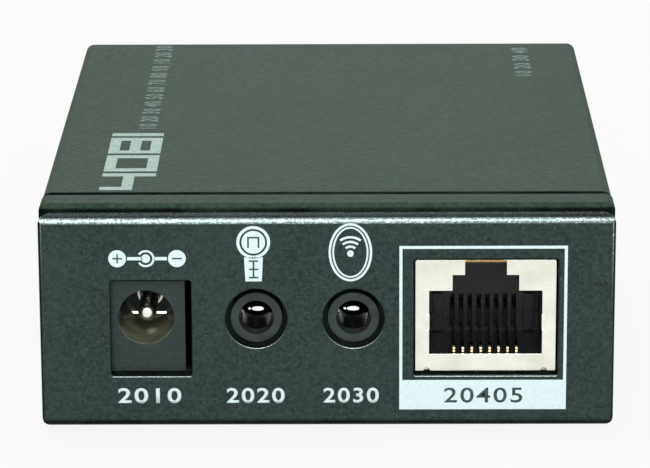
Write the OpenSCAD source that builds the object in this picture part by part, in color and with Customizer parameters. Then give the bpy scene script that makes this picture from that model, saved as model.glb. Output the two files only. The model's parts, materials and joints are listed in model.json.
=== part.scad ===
// Sheet-metal signal extender box with a power jack, two audio-size jacks,
// a shielded network socket, and a video socket at the back.
// X runs across the front panel, Y from the front panel to the back, Z up.
// The origin is on the ground under the middle of the box.

/* [Case] */
// Width across the front panel
case_w = 65; // [64:0.5:80]
// Depth from the front panel to the rear panel
case_d = 80; // [78:0.5:110]
// Height from the underside of the tray to the top of the cover
case_h = 26; // [25:0.5:40]
// Sheet thickness of the tray
tray_t = 1.1; // [0.8:0.1:1.3]
// Inner radius of the tray's bends
bend_r = 0.1; // [0.1:0.1:0.8]
// Corner radius of the front panel
panel_corner_r = 1.3; // [0.5:0.1:3]
// Rounding of the front panel's upright edges
panel_edge_r = 0.5; // [0.2:0.1:0.8]
// Reach of the front panel's top flange
front_flange_l = 4.7; // [3:0.1:4.8]
// Reach of the rear panel's top flange
rear_flange_l = 8; // [4:0.5:12]
// Slide clearance between the tray and the cover
slide_gap = 0.1; // [0.05:0.05:0.3]

/* [Collar and cover] */
// Sheet thickness of the collar
collar_t = 0.85; // [0.7:0.05:1.2]
// Start of the collar behind the front panel's face
collar_start = 1.5; // [1.4:0.1:2]
// Length of the collar's stepped rim
collar_step_l = 0.9; // [0.5:0.1:1]
// Outer corner radius of the collar
collar_corner_r = 1; // [0.3:0.1:2]
// Seam between collar and cover, behind the front panel's face
seam_y = 5.9; // [5.9:0.1:8]
// Width of the seam
seam_gap = 0.3; // [0.1:0.05:0.6]
// Length of the collar's tongue under the cover
tongue_l = 6; // [3:0.5:8]
// Sheet thickness of the cover
cover_t = 1; // [0.9:0.05:1.2]
// Step of the cover's sides inside the front panel's width
cover_inset = 0.1; // [0:0.05:0.3]
// Outer radius of the cover's long edges
cover_edge_r = 1.1; // [0.5:0.1:2]

/* [Side ears] */
// Height of the tray's ears
ear_h = 17; // [16:0.5:20]
// Length of each ear
ear_l = 12; // [9:0.5:14]
// Rounding of the ears' upper corners
ear_r = 3; // [1:0.5:4]
// Distance of the front ears' screws from the front panel
ear_front_y = 20; // [20:0.5:26]
// Distance of the rear ears' screws from the rear panel
ear_rear_y = 15; // [12:0.5:26]
// Height of the cover screws over the underside of the tray
ear_screw_z = 12.5; // [12:0.25:13]

/* [Feet and fasteners] */
// Diameter of a rubber foot at the tray
foot_d = 8; // [6:0.5:10]
// Height of a rubber foot
foot_h = 1.5; // [1:0.1:3]
// Taper of a rubber foot, per side
foot_taper = 0.3; // [0.1:0.1:0.8]
// Distance of the feet's middle from the sides of the box
foot_inset = 10; // [8:0.5:14]
// Nominal diameter of the screws
screw_d = 3; // [2.5:0.1:3]
// Running clearance of a screw in its thread
thread_gap = 0.04; // [0.02:0.01:0.1]
// Clearance round a screw in a plain hole
screw_gap = 0.1; // [0.05:0.05:0.2]
// Head diameter of the countersunk cover screws
csk_head_d = 5; // [4.5:0.1:5.2]
// Length of the countersunk cover screws
csk_screw_l = 6; // [5:0.5:7]
// Width across the drive recess of a screw
drive_w = 1.9; // [1.5:0.1:2.2]
// Width of a blade of the drive recess
drive_blade = 0.5; // [0.4:0.05:0.7]
// Depth of the drive recess
drive_depth = 0.6; // [0.4:0.05:0.8]
// Head diameter of the board screws
pan_head_d = 5.4; // [5:0.1:5.8]
// Head height of the board screws
pan_head_h = 1.9; // [1.5:0.1:2.2]
// Length of the board screws under the head
pan_screw_l = 5; // [4:0.25:5.25]

/* [Board] */
// Gap between the board's long edges and the sides of the box
board_side_gap = 3.5; // [3:0.25:4]
// Thickness of the circuit board
board_t = 1.6; // [1.2:0.1:1.8]
// Gap between the board's front or back edge and the panel's face
board_end_gap = 1.9; // [1.8:0.1:3]
// Height of the standoffs
standoff_h = 3.7; // [3.5:0.1:5]
// Diameter of the standoffs
standoff_d = 5.5; // [5:0.1:6]
// Distance of the board screws from the board's long edges
board_screw_side = 3.5; // [3.2:0.1:4]
// Distance of the front board screws from the front panel
board_screw_front = 24; // [23.5:0.5:26]
// Distance of the rear board screws from the rear panel
board_screw_rear = 7; // [6.5:0.5:9]
// Clearance round a leg in its board hole
leg_gap = 0.2; // [0.1:0.05:0.25]
// Length of the legs under the board
leg_below = 1.4; // [0.8:0.1:2]

/* [Cutouts in the panels] */
// Gap beside a jack in its cutout
port_gap_side = 0.3; // [0.2:0.05:0.5]
// Gap below a jack in its cutout
port_gap_low = 0.4; // [0.2:0.05:0.6]
// Gap above a jack in its cutout
port_gap_top = 0.5; // [0.2:0.05:0.6]
// Corner radius of a cutout
port_corner_r = 0.4; // [0.3:0.1:1.2]
// Shift of the power cutout to the right of its jack
dc_cutout_shift = 0.6; // [0:0.1:0.6]

/* [Power jack] */
// Width of the jack
dc_w = 8.8; // [8.6:0.1:9.2]
// Height of the jack
dc_h = 10.7; // [10.6:0.1:11.5]
// Length of the jack
dc_l = 14.2; // [13.8:0.1:15]
// Recess of the jack behind the panel's face
dc_recess = 1.2; // [1.2:0.1:1.5]
// Length of the square front block
dc_block_l = 3.4; // [2.5:0.1:4.5]
// Step from the front block to the round body
dc_step = 0.1; // [0.05:0.05:0.3]
// Height of the bore's axis over the board
dc_axis_h = 6.4; // [6.3:0.05:6.5]
// Diameter of the bore
dc_bore_d = 6.3; // [6:0.1:6.4]
// Depth of the bore
dc_bore_l = 9.6; // [9.2:0.1:10.5]
// Diameter of the centre pin
dc_pin_d = 2.1; // [1.9:0.1:2.5]
// Recess of the pin's tip behind the jack's face
dc_pin_recess = 1.2; // [0.8:0.1:2]
// Width of the spring contact
dc_spring_w = 2.6; // [2:0.1:2.8]
// Thickness of the spring and the terminals
dc_spring_t = 0.25; // [0.2:0.05:0.3]
// How far the spring's crest reaches into the bore
dc_spring_reach = 0.65; // [0.4:0.05:0.7]
// Clearance beside the spring in its slot
dc_slot_gap = 0.3; // [0.2:0.05:0.4]
// Height of the spring's slot above the bore
dc_slot_h = 0.7; // [0.65:0.05:0.8]
// Width of a terminal leg
dc_leg_w = 1.6; // [1.4:0.1:2]

/* [Audio-size jacks] */
// Diameter of the panel holes
jack_hole_d = 7.2; // [6.8:0.1:8]
// Height of the panel holes over the jacks' axis
jack_hole_lift = 0.15; // [0:0.05:0.3]
// Recess of the nose behind the panel's face
jack_recess = 1; // [0.6:0.1:1.1]
// Diameter of the nose
jack_nose_d = 5.8; // [5.6:0.1:6]
// Length of the nose
jack_nose_l = 3; // [2.5:0.1:4]
// Width of the jack's body
jack_w = 9.4; // [9:0.1:9.8]
// Height of the jack's body
jack_h = 10.4; // [10.2:0.1:11.5]
// Length of the jack's body
jack_l = 12; // [12:0.1:13]
// Height of the bore's axis over the board
jack_axis_h = 6.4; // [6.2:0.05:6.5]
// Inner diameter of the metal sleeve
jack_bore_d = 3.6; // [3.55:0.01:3.65]
// Step from the sleeve's bore to the housing's wider mouth
jack_mouth_gap = 0.2; // [0.15:0.01:0.25]
// Start of the metal sleeve behind the nose's face
sleeve_start = 1.2; // [0.8:0.1:1.6]
// Length of the metal sleeve
sleeve_l = 5; // [4:0.1:6]
// Wall of the metal sleeve
sleeve_t = 0.45; // [0.3:0.05:0.5]
// Clearance of the sleeve in its seat
sleeve_gap = 0.03; // [0.02:0.01:0.05]
// Width of the tip spring
tip_w = 2.2; // [1.8:0.1:2.4]
// Thickness of the tip spring
tip_t = 0.3; // [0.2:0.05:0.35]
// How far the tip spring's crest reaches into the bore
tip_reach = 0.3; // [0.2:0.05:0.4]
// Clearance beside the tip spring in its slot
tip_slot_gap = 0.3; // [0.2:0.05:0.4]

/* [Network socket] */
// Width of the shield
rj_w = 15.95; // [15.7:0.05:16.2]
// Height of the shield
rj_h = 13.15; // [13:0.05:13.6]
// Length of the shield
rj_l = 17.5; // [17.2:0.1:19]
// Sheet thickness of the shield
rj_shield_t = 0.25; // [0.2:0.05:0.3]
// Recess of the shield behind the panel's face
rj_recess = 1; // [0.6:0.1:1.1]
// Width of the plug opening
rj_open_w = 12.8; // [12.2:0.1:13]
// Height of the plug opening's floor over the board
rj_open_z = 2; // [1.9:0.05:2.1]
// Height of the plug opening
rj_open_h = 7.5; // [7.3:0.05:7.6]
// Width of the step above the plug opening
rj_step_w = 7.5; // [6.8:0.1:8]
// Height of the step
rj_step_h = 1.85; // [1.6:0.05:1.9]
// Width of the latch notch above the step
rj_latch_w = 4.7; // [4.4:0.1:5]
// Depth of the plug opening
rj_open_l = 9.2; // [8.9:0.1:9.6]
// Distance between neighbouring contact wires
rj_pitch = 1.016; // [1:0.001:1.05]
// Number of contact wires
rj_count = 8; // [8:8]
// Thickness of a contact wire
rj_wire_t = 0.3; // [0.25:0.01:0.32]
// Width of a slot in the comb
rj_comb_w = 0.56; // [0.5:0.01:0.6]
// Slope of the contact wires at rest, in degrees
rj_wire_slope = 18; // [16:1:20]
// Distance of the wires' front bends behind the shield's face
rj_hinge_y = 1.35; // [1.25:0.05:1.5]
// Height of the wires' front bends over the opening's floor
rj_hinge_lift = 0.5; // [0.4:0.05:0.6]
// Width of the notches at the sides of the opening
rj_side_notch_w = 0.42; // [0.2:0.02:0.6]
// Height of the notches at the sides of the opening
rj_side_notch_h = 1.9; // [1:0.1:2.5]
// Width of the posts beside the comb
rj_post_w = 1.2; // [0.8:0.1:1.3]
// Height of the posts beside the comb
rj_post_h = 4.2; // [3:0.1:5]
// How far the posts stand out of the comb's face
rj_post_t = 0.5; // [0.3:0.05:0.6]
// Size of the notches in the shield's lower front edge
rj_notch_d = 0.7; // [0.4:0.1:1]
// Distance of those notches from the socket's middle
rj_notch_x = 6.65; // [6:0.05:7]

/* [Video socket] */
// Place of the socket left of the middle
hd_x = 6; // [2:0.5:8]
// Inner width of the shell
hd_w = 14; // [13.9:0.05:14.1]
// Inner height of the shell
hd_h = 4.55; // [4.5:0.05:4.65]
// Sheet thickness of the shell
hd_t = 0.3; // [0.25:0.05:0.35]
// Inner width of the shell's narrow side
hd_low_w = 9.9; // [9.6:0.1:10.4]
// Height of the shell's slanted corners
hd_slant_h = 1.7; // [1.5:0.1:2]
// Recess of the shell behind the rear panel's face
hd_recess = 0.6; // [0.3:0.1:1]
// Width of the tongue
hd_tongue_w = 11.2; // [11:0.1:11.6]
// Thickness of the tongue
hd_tongue_t = 1.1; // [1:0.05:1.2]
// Length of the tongue in front of its block
hd_tongue_l = 6.6; // [6:0.1:7]
// Length of the block that carries the tongue
hd_block_l = 4.4; // [3.5:0.1:5]
// Distance between contacts in one row
hd_pitch = 1; // [1:0.01:1.02]
// Contacts in the upper row
hd_upper_count = 10; // [10:10]
// Width of a contact
hd_contact_w = 0.24; // [0.2:0.01:0.26]
// Thickness of a contact
hd_contact_t = 0.15; // [0.12:0.01:0.18]
// Gap round the shell in the rear panel
hd_cutout_gap = 0.35; // [0.2:0.05:0.5]

/* [Indicator lamps] */
// Distance from one lamp to the other
lamp_pitch = 8; // [6:0.5:9]
// Gap between the outer lamp's holder and the rear board screw's head
lamp_screw_gap = 0.6; // [0.4:0.1:2]
// Lens diameter of a lamp
lamp_d = 3; // [2.9:0.1:3.1]
// Height of a lamp's axis over the board
lamp_axis_h = 4.2; // [3.5:0.1:5]
// Width of a lamp holder
lamp_holder_w = 4.4; // [4:0.1:5]
// Length of a lamp holder
lamp_holder_l = 4.8; // [4.5:0.1:5.5]
// Clearance of a lamp in its holder and panel hole
lamp_gap = 0.1; // [0.05:0.05:0.2]
// Thickness of a lamp's legs
lamp_leg = 0.5; // [0.4:0.05:0.6]

/* [Board components] */
// Side of the receiver chip
chip_w = 14; // [12:0.5:16]
// Height of the receiver chip's body
chip_h = 1.4; // [1:0.1:1.8]
// Thickness of the thermal pad
pad_h = 0.5; // [0.3:0.1:1]
// Height of the heat sink
sink_h = 7; // [5:0.5:9]
// Thickness of the heat sink's base
sink_base = 1.6; // [1:0.1:2]
// Number of fins
sink_fins = 6; // [4:1:8]
// Thickness of a fin
sink_fin_t = 0.9; // [0.6:0.1:1.2]
// Diameter of the electrolytic capacitors
cap_d = 6.3; // [5:0.1:6.6]
// Height of the electrolytic capacitors
cap_h = 7.7; // [5.4:0.1:9]
// Side of the power inductor
coil_w = 7; // [6:0.5:8]
// Height of the power inductor
coil_h = 4; // [3:0.5:5]

/* [Hidden] */
$fn = 48;

// Overrun of every cut
over = tray_t / 2;

// Heights
floor_z = foot_h;
tray_top = floor_z + tray_t;
board_z = tray_top + standoff_h;
board_top = board_z + board_t;
lid_z = floor_z + case_h;
ledge_z = lid_z - collar_t;
under_lid = lid_z - cover_t;
legs_z = board_z - leg_below;

// Depths
front_y = -case_d / 2;
rear_y = case_d / 2;
board_front = front_y + board_end_gap;
board_rear = rear_y - board_end_gap;
board_l = board_rear - board_front;
cover_front = front_y + seam_y + seam_gap;

// Widths
board_w = case_w - 2 * board_side_gap;
tray_w = case_w - 2 * (cover_inset + cover_t + slide_gap);
cover_w = case_w - 2 * cover_inset;
bend_out = tray_t + bend_r;

// Colours
coat = [0.24, 0.27, 0.25];
coat_top = [0.31, 0.36, 0.33];
black_plastic = [0.07, 0.08, 0.08];
grey_plastic = [0.2, 0.22, 0.21];
nickel = [0.88, 0.87, 0.8];
steel = [0.6, 0.62, 0.62];
gold = [0.83, 0.68, 0.38];
rubber = [0.08, 0.08, 0.08];
solder_mask = [0.07, 0.3, 0.16];

// Places of the repeated fasteners
screw_r = screw_d / 2;
cover_screw_ys = [front_y + ear_front_y, rear_y - ear_rear_y];
board_screw_ys = [front_y + board_screw_front, rear_y - board_screw_rear];
board_screw_x = board_w / 2 - board_screw_side;
foot_x = case_w / 2 - foot_inset;
foot_y = case_d / 2 - foot_inset;
ear_screw_top = floor_z + ear_screw_z;
ring_l = tray_t;
ring_wall = tray_t;

// Places of the four ports: gaps from the left side on, as shares of the free width
port_gap_shares = [0.3543, 0.1585, 0.0746, 0.1061];
port_free_w = case_w - dc_w - 2 * jack_w - rj_w;
dc_x = case_w / 2 - port_gap_shares[0] * port_free_w - dc_w / 2;
jack_in_x = dc_x - (dc_w + jack_w) / 2 - port_gap_shares[1] * port_free_w;
jack_out_x = jack_w + port_gap_shares[2] * port_free_w - jack_in_x;
rj_x = jack_out_x + (jack_w + rj_w) / 2 + port_gap_shares[3] * port_free_w;

// Power jack
dc_face = front_y + dc_recess;
dc_axis = board_top + dc_axis_h;
dc_pin_r = dc_pin_d / 2;
dc_hinge_y = dc_bore_l + dc_spring_t;
dc_hinge_z = dc_axis_h + dc_bore_d / 2 + dc_spring_t / 2;
dc_crest = [-dc_bore_l * 0.55, -dc_spring_reach - dc_spring_t / 2];
dc_tip = [-dc_bore_l * 0.78, -dc_spring_t];
dc_slot_end = dc_hinge_y + 2 * dc_spring_t;
dc_leg_t = 2 * dc_spring_t;
dc_side_leg_x = dc_leg_w / 2 + dc_leg_w;

// Audio-size jacks
jack_face = front_y + jack_recess;
jack_end = jack_nose_l + jack_l;
jack_bore_r = jack_bore_d / 2;
sleeve_r = jack_bore_r + sleeve_t;
tip_hinge_y = jack_end - 2 * tip_t;
tip_hinge_z = jack_axis_h + jack_bore_d;
tip_crest = [-jack_l * 0.31, -(jack_bore_d - jack_bore_r) - tip_reach + tip_t / 2];
tip_end = [-jack_l * 0.44, -(jack_bore_d - jack_bore_r) + tip_t * 2];
tip_slot_y = tip_hinge_y + tip_end[0] - 2 * tip_t;
sleeve_leg_y = sleeve_start + sleeve_l - tip_t * 2;

// Network socket
rj_face = front_y + rj_recess;
rj_hinge_z = rj_open_z + rj_hinge_lift;
rj_comb_l = rj_open_l * 0.28;
rj_wire_l = (rj_open_l + rj_comb_l * 0.45 - rj_hinge_y) / cos(rj_wire_slope);
rj_comb_low = rj_open_z + rj_wire_t;
rj_comb_high = rj_hinge_z + rj_wire_l * sin(rj_wire_slope) + 3 * rj_wire_t;
rj_stub_y = rj_hinge_y - 2 * rj_wire_t;
rj_post_x = rj_pitch * rj_count / 2 + rj_post_w;
rj_post_z = rj_open_z + rj_open_h / 2 - rj_side_notch_h / 2;
rj_run_z = rj_open_z / 2;
rj_tail_rows = [rj_l * 0.7, rj_l * 0.845];
rj_leg_y = rj_l * 0.4;
rj_leg_l = rj_pitch * 1.6;

// Video socket
hd_face = rear_y - hd_recess;
hd_axis_h = hd_t + hd_h / 2;
hd_block_y = hd_tongue_l + hd_t;
hd_l = hd_block_y + hd_block_l;
hd_lower_count = hd_upper_count - 1;
hd_leg_ys = [hd_l * 0.25, hd_l * 0.75];
hd_tail_l = hd_block_l * 0.35;

// Lamps
lamp_link_x = board_screw_x - (pan_head_d + lamp_holder_w) / 2 - lamp_screw_gap;
lamp_power_x = lamp_link_x - lamp_pitch;
lamp_xs = [lamp_power_x, lamp_link_x];
lamp_r = lamp_d / 2;
lamp_rim_r = lamp_r + lamp_leg;
lamp_holder_y = rear_y - max(tray_t, lamp_r) - lamp_leg;
lamp_leg_xs = [-lamp_d * 0.42, lamp_d * 0.42];

// Chips
chip_place_share = [-0.02, 0.46];
chip_x = board_w * chip_place_share[0];
chip_y = board_front + board_l * chip_place_share[1];
lead_l = chip_h * 0.8;
chip_lift = chip_h * 0.1;
chip_top = board_top + chip_lift + chip_h;
chip_right = chip_x + chip_w / 2 + lead_l;

// Crystal between the receiver chip and the board's right edge
crystal_x_share = 0.3947;
crystal_x = chip_right + (board_w / 2 - chip_right) * crystal_x_share;

// Row of power parts between the left board screws, with gaps as shares of the free length
row_x_share = -0.36;
row_gap_shares = [0.0606, 0.072, 0.2165];
row_x = board_w * row_x_share;
cap_base_w = cap_d * 1.05;
cap_gap = pan_head_h / 3;
reg_w = coil_w * 0.93;
reg_front_l = reg_w * 0.55;
reg_rear_l = reg_w / 4 + lead_l;
cap_front_y = board_screw_ys[0] + (pan_head_d + cap_d) / 2 + cap_gap;
row_start_y = cap_front_y + cap_base_w / 2;
row_free_l = board_screw_ys[1] - pan_head_d / 2 - row_start_y
    - cap_base_w - coil_w - reg_front_l - reg_rear_l;
cap_rear_y = row_start_y + row_gap_shares[0] * row_free_l + cap_base_w / 2;
coil_y = cap_rear_y + cap_base_w / 2 + row_gap_shares[1] * row_free_l + coil_w / 2;
reg_y = coil_y + coil_w / 2 + row_gap_shares[2] * row_free_l + reg_front_l;
cap_side_shares = [0.34, 0.62];
cap_places = [
    [row_x, cap_front_y],
    [row_x, cap_rear_y],
    [board_w * cap_side_shares[0], board_front + board_l * cap_side_shares[1]]
];
ceramic_places_shares = [
    [-0.22, 0.3], [-0.14, 0.3], [-0.06, 0.3], [0.02, 0.3],
    [-0.22, 0.63], [-0.14, 0.63], [-0.06, 0.63], [0.02, 0.63],
    [0.1, 0.63], [-0.22, 0.76], [-0.22, 0.8], [0.438, 0.48]
];
resistor_places_shares = [
    [-0.22, 0.26], [-0.14, 0.26], [-0.06, 0.26], [0.02, 0.26],
    [-0.22, 0.67], [-0.14, 0.67], [-0.06, 0.67], [0.02, 0.67],
    [0.1, 0.67], [0.438, 0.51], [0.438, 0.54], [0.438, 0.57]
];

// A rectangle whose four corners can each have their own radius,
// in the order lower left, lower right, upper right, upper left
module soft_rect(w, h, r) {
    union() {
        polygon(concat(
            r[0] > 0 ? [[0, r[0]], [r[0], 0]] : [[0, 0]],
            r[1] > 0 ? [[w - r[1], 0], [w, r[1]]] : [[w, 0]],
            r[2] > 0 ? [[w, h - r[2]], [w - r[2], h]] : [[w, h]],
            r[3] > 0 ? [[r[3], h], [0, h - r[3]]] : [[0, h]]
        ));
        if (r[0] > 0) translate([r[0], r[0]]) circle(r[0]);
        if (r[1] > 0) translate([w - r[1], r[1]]) circle(r[1]);
        if (r[2] > 0) translate([w - r[2], h - r[2]]) circle(r[2]);
        if (r[3] > 0) translate([r[3], h - r[3]]) circle(r[3]);
    }
}

// Stretches a side view, drawn as Y and Z, across X about the middle
module across(w) {
    translate([-w / 2, 0, 0]) rotate([90, 0, 90]) linear_extrude(w) children();
}

// Stretches a front view, drawn as X and Z, back along Y
module backward(from, len) {
    translate([0, from + len, 0]) rotate([90, 0, 0]) linear_extrude(len) children();
}

// A round bar along Y
module bar_y(r, from, len) {
    translate([0, from, 0]) rotate([-90, 0, 0]) cylinder(r = r, h = len);
}

// A bent strip in the side view through the given points, with round bends
module strip_view(points, t) {
    for (i = [0 : len(points) - 1]) translate(points[i]) circle(d = t);
    for (i = [0 : len(points) - 2]) {
        step = points[i + 1] - points[i];
        translate(points[i]) rotate(atan2(step[1], step[0]))
            translate([0, -t / 2]) square([norm(step), t]);
    }
}

// A cross recess for a screwdriver, sunk from z = 0 downwards
module cross_recess() {
    for (turn = [0, 90]) rotate(turn)
        translate([-drive_w / 2, -drive_blade / 2, -drive_depth])
            cube([drive_w, drive_blade, drive_depth + over]);
}

// Side view of a panel with its flange: the web at the left, open to the right
module channel_view(reach, high) {
    difference() {
        soft_rect(reach, high, [bend_out, 0, 0, bend_out]);
        translate([tray_t, tray_t])
            soft_rect(reach, high - 2 * tray_t, [bend_r, 0, 0, bend_r]);
    }
}

// Front view of the front panel
module front_panel_view() {
    translate([-case_w / 2, floor_z])
        soft_rect(case_w, ledge_z - floor_z, [for (i = [0 : 3]) panel_corner_r]);
}

// Plan view of the front panel with its rounded upright edges
module front_panel_plan() {
    translate([-case_w / 2, front_y])
        soft_rect(case_w, tray_t, [panel_edge_r, panel_edge_r, 0, 0]);
}

// The front panel, wider than the tray's floor, with all its outer edges rounded
module front_panel() {
    intersection() {
        across(case_w) translate([front_y, floor_z])
            channel_view(front_flange_l, ledge_z - floor_z);
        backward(front_y, tray_t) front_panel_view();
        translate([0, 0, floor_z]) linear_extrude(case_h) front_panel_plan();
    }
}

// Power cutout, jack holes and network cutout of the front panel
module front_cutouts() {
    dc_cut_w = dc_w + 2 * port_gap_side;
    rj_cut_w = rj_w + 2 * port_gap_side;
    cut_l = tray_t + 2 * over;
    radii = [for (i = [0 : 3]) port_corner_r];
    backward(front_y - over, cut_l) {
        translate([-dc_x + dc_cutout_shift - dc_cut_w / 2, board_top - port_gap_low])
            soft_rect(dc_cut_w, dc_h + port_gap_low + port_gap_top, radii);
        translate([rj_x - rj_cut_w / 2, board_top - port_gap_low])
            soft_rect(rj_cut_w, rj_h + port_gap_low + port_gap_top, radii);
        for (x = [-jack_in_x, jack_out_x])
            translate([x, board_top + jack_axis_h + jack_hole_lift]) circle(d = jack_hole_d);
    }
}

// Video cutout and lamp holes of the rear panel
module rear_cutouts() {
    cut_l = tray_t + 2 * over;
    backward(rear_y - tray_t - over, cut_l) {
        translate([-hd_x, board_top]) video_outline(hd_t + hd_cutout_gap);
        for (x = lamp_xs)
            translate([x, board_top + lamp_axis_h]) circle(r = lamp_r + lamp_gap);
    }
}

// An upright ear of the tray with its drawn thread ring, on the right side
module side_ear(y) {
    translate([tray_w / 2 - tray_t / 2, y, 0]) across(tray_t)
        translate([-ear_l / 2, floor_z]) soft_rect(ear_l, ear_h, [0, 0, ear_r, ear_r]);
    translate([tray_w / 2 - tray_t - ring_l, y, ear_screw_top]) rotate([0, 90, 0])
        cylinder(r = screw_r + ring_wall, h = ring_l + tray_t / 2);
}

// Tray with its floor, front panel, rear panel and four ears
module base_tray() {
    color(coat) difference() {
        union() {
            front_panel();
            across(tray_w) {
                translate([front_y, floor_z])
                    channel_view(front_flange_l, ledge_z - floor_z);
                translate([rear_y, floor_z]) mirror([1, 0])
                    channel_view(rear_flange_l, under_lid - floor_z);
                translate([front_y + bend_out, floor_z])
                    square([case_d - 2 * bend_out, tray_t]);
            }
            for (y = cover_screw_ys) {
                side_ear(y);
                mirror([1, 0, 0]) side_ear(y);
            }
        }
        front_cutouts();
        rear_cutouts();
        for (y = cover_screw_ys) translate([-case_w / 2, y, ear_screw_top])
            rotate([0, 90, 0]) cylinder(r = screw_r, h = case_w);
    }
}

// Front view of a band round the top and the two sides
module band_view(w, top, t, r) {
    difference() {
        translate([-w / 2, floor_z]) soft_rect(w, top - floor_z, [0, 0, r, r]);
        translate([-w / 2 + t, floor_z - over])
            soft_rect(w - 2 * t, top - t - floor_z + over, [0, 0, max(r - t, 0), max(r - t, 0)]);
    }
}

// Collar: the visible band, its stepped rim and the tongue under the cover
module front_collar() {
    start = front_y + collar_start;
    step_y = front_y + seam_y - collar_step_l;
    color(coat_top) difference() {
        union() {
            intersection() {
                backward(start, seam_y - collar_start)
                    band_view(case_w, lid_z, collar_t, collar_corner_r);
                across(case_w) translate([start, floor_z])
                    soft_rect(seam_y - collar_start, case_h, [0, 0, 0, collar_t]);
                translate([-case_w / 2, start, floor_z]) linear_extrude(case_h)
                    soft_rect(case_w, seam_y - collar_start, [collar_t, collar_t, 0, 0]);
            }
            backward(step_y, collar_step_l) difference() {
                translate([-case_w / 2, floor_z])
                    soft_rect(case_w, case_h, [0, 0, collar_corner_r, collar_corner_r]);
                translate([-tray_w / 2 + collar_t, floor_z - over])
                    square([tray_w - 2 * collar_t, under_lid - collar_t - floor_z + over]);
            }
            backward(step_y, collar_step_l + tongue_l)
                band_view(tray_w, under_lid, collar_t, collar_t);
        }
        translate([-tray_w / 2, step_y - over, floor_z - over])
            cube([tray_w, collar_step_l + tongue_l + 2 * over, tray_t + over]);
    }
}

// Countersunk hole for a cover screw, along X through the right side
module cover_screw_hole(y) {
    translate([cover_w / 2, y, ear_screw_top]) rotate([0, -90, 0]) {
        cylinder(r1 = csk_head_d / 2, r2 = screw_r + screw_gap,
            h = csk_head_d / 2 - screw_r - screw_gap);
        translate([0, 0, -over]) cylinder(r = screw_r + screw_gap, h = cover_t + 2 * over);
    }
}

// Cover: top and two sides, from the seam to the rear panel
module top_cover() {
    color(coat_top) difference() {
        backward(cover_front, rear_y - cover_front)
            band_view(cover_w, lid_z, cover_t, cover_edge_r);
        for (y = cover_screw_ys) {
            cover_screw_hole(y);
            mirror([1, 0, 0]) cover_screw_hole(y);
        }
    }
}

// One countersunk screw on the right side
module cover_screw(y) {
    shank_r = screw_r - thread_gap;
    head_r = csk_head_d / 2 - thread_gap;
    translate([cover_w / 2, y, ear_screw_top]) rotate([0, -90, 0]) difference() {
        union() {
            cylinder(r1 = head_r, r2 = shank_r, h = head_r - shank_r);
            cylinder(r = shank_r, h = csk_screw_l);
        }
        rotate([180, 0, 0]) cross_recess();
    }
}

module cover_screws() {
    color(steel) for (y = cover_screw_ys) {
        cover_screw(y);
        mirror([1, 0, 0]) cover_screw(y);
    }
}

module rubber_feet() {
    color(rubber) for (x = [-foot_x, foot_x], y = [-foot_y, foot_y]) translate([x, y, 0])
        cylinder(r1 = foot_d / 2 - foot_taper, r2 = foot_d / 2, h = foot_h);
}

module standoffs() {
    color(steel) for (x = [-board_screw_x, board_screw_x], y = board_screw_ys)
        translate([x, y, tray_top]) difference() {
            cylinder(d = standoff_d, h = standoff_h);
            translate([0, 0, -over]) cylinder(r = screw_r, h = standoff_h + 2 * over);
        }
}

// Board screws with low domed heads
module board_screws() {
    shank_r = screw_r - thread_gap;
    edge_r = pan_head_h / 2;
    color(steel) for (x = [-board_screw_x, board_screw_x], y = board_screw_ys)
        translate([x, y, board_top]) difference() {
            rotate_extrude() intersection() {
                union() {
                    translate([-pan_head_d / 2, 0])
                        soft_rect(pan_head_d, pan_head_h, [0, 0, edge_r, edge_r]);
                    translate([-shank_r, -pan_screw_l]) square([2 * shank_r, pan_screw_l + over]);
                }
                translate([0, -pan_screw_l]) square([pan_head_d, pan_screw_l + pan_head_h]);
            }
            translate([0, 0, pan_head_h]) cross_recess();
        }
}

// A plan-view slot for a flat leg, seen from above
module leg_slot(x, y, w, l) {
    translate([x - w / 2 - leg_gap, y - l / 2 - leg_gap])
        square([w + 2 * leg_gap, l + 2 * leg_gap]);
}

// All holes of the board in plan view
module board_holes() {
    for (x = [-board_screw_x, board_screw_x], y = board_screw_ys)
        translate([x, y]) circle(r = screw_r + screw_gap);
    leg_slot(-dc_x, dc_face + dc_l + dc_leg_t / 2, dc_leg_w, dc_leg_t);
    leg_slot(-dc_x + dc_side_leg_x, dc_face + dc_l + dc_leg_t / 2, dc_leg_w, dc_leg_t);
    for (x = [-jack_in_x, jack_out_x]) {
        leg_slot(x, jack_face + sleeve_leg_y, tip_w, tip_t);
        leg_slot(x, jack_face + jack_end + tip_t / 2, tip_w, tip_t);
    }
    for (i = [0 : rj_count - 1])
        translate([rj_x + wire_x(i), rj_face + rj_tail_rows[i % 2]])
            circle(r = rj_wire_t / 2 + leg_gap);
    for (side = [-1, 1]) {
        leg_slot(rj_x + side * (rj_w - rj_shield_t) / 2, rj_face + rj_leg_y, rj_shield_t, rj_leg_l);
        for (y = hd_leg_ys)
            leg_slot(-hd_x + side * (hd_w + hd_t) / 2, hd_face - y, hd_t, 2 * hd_pitch);
        for (x = lamp_xs)
            translate([x + side * lamp_leg_xs[1], lamp_holder_y - lamp_holder_l - lamp_leg / 2])
                circle(r = lamp_leg / 2 + leg_gap);
    }
}

module main_board() {
    color(solder_mask) translate([0, 0, board_z]) linear_extrude(board_t) difference() {
        translate([-board_w / 2, board_front]) square([board_w, board_l]);
        board_holes();
    }
}

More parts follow.
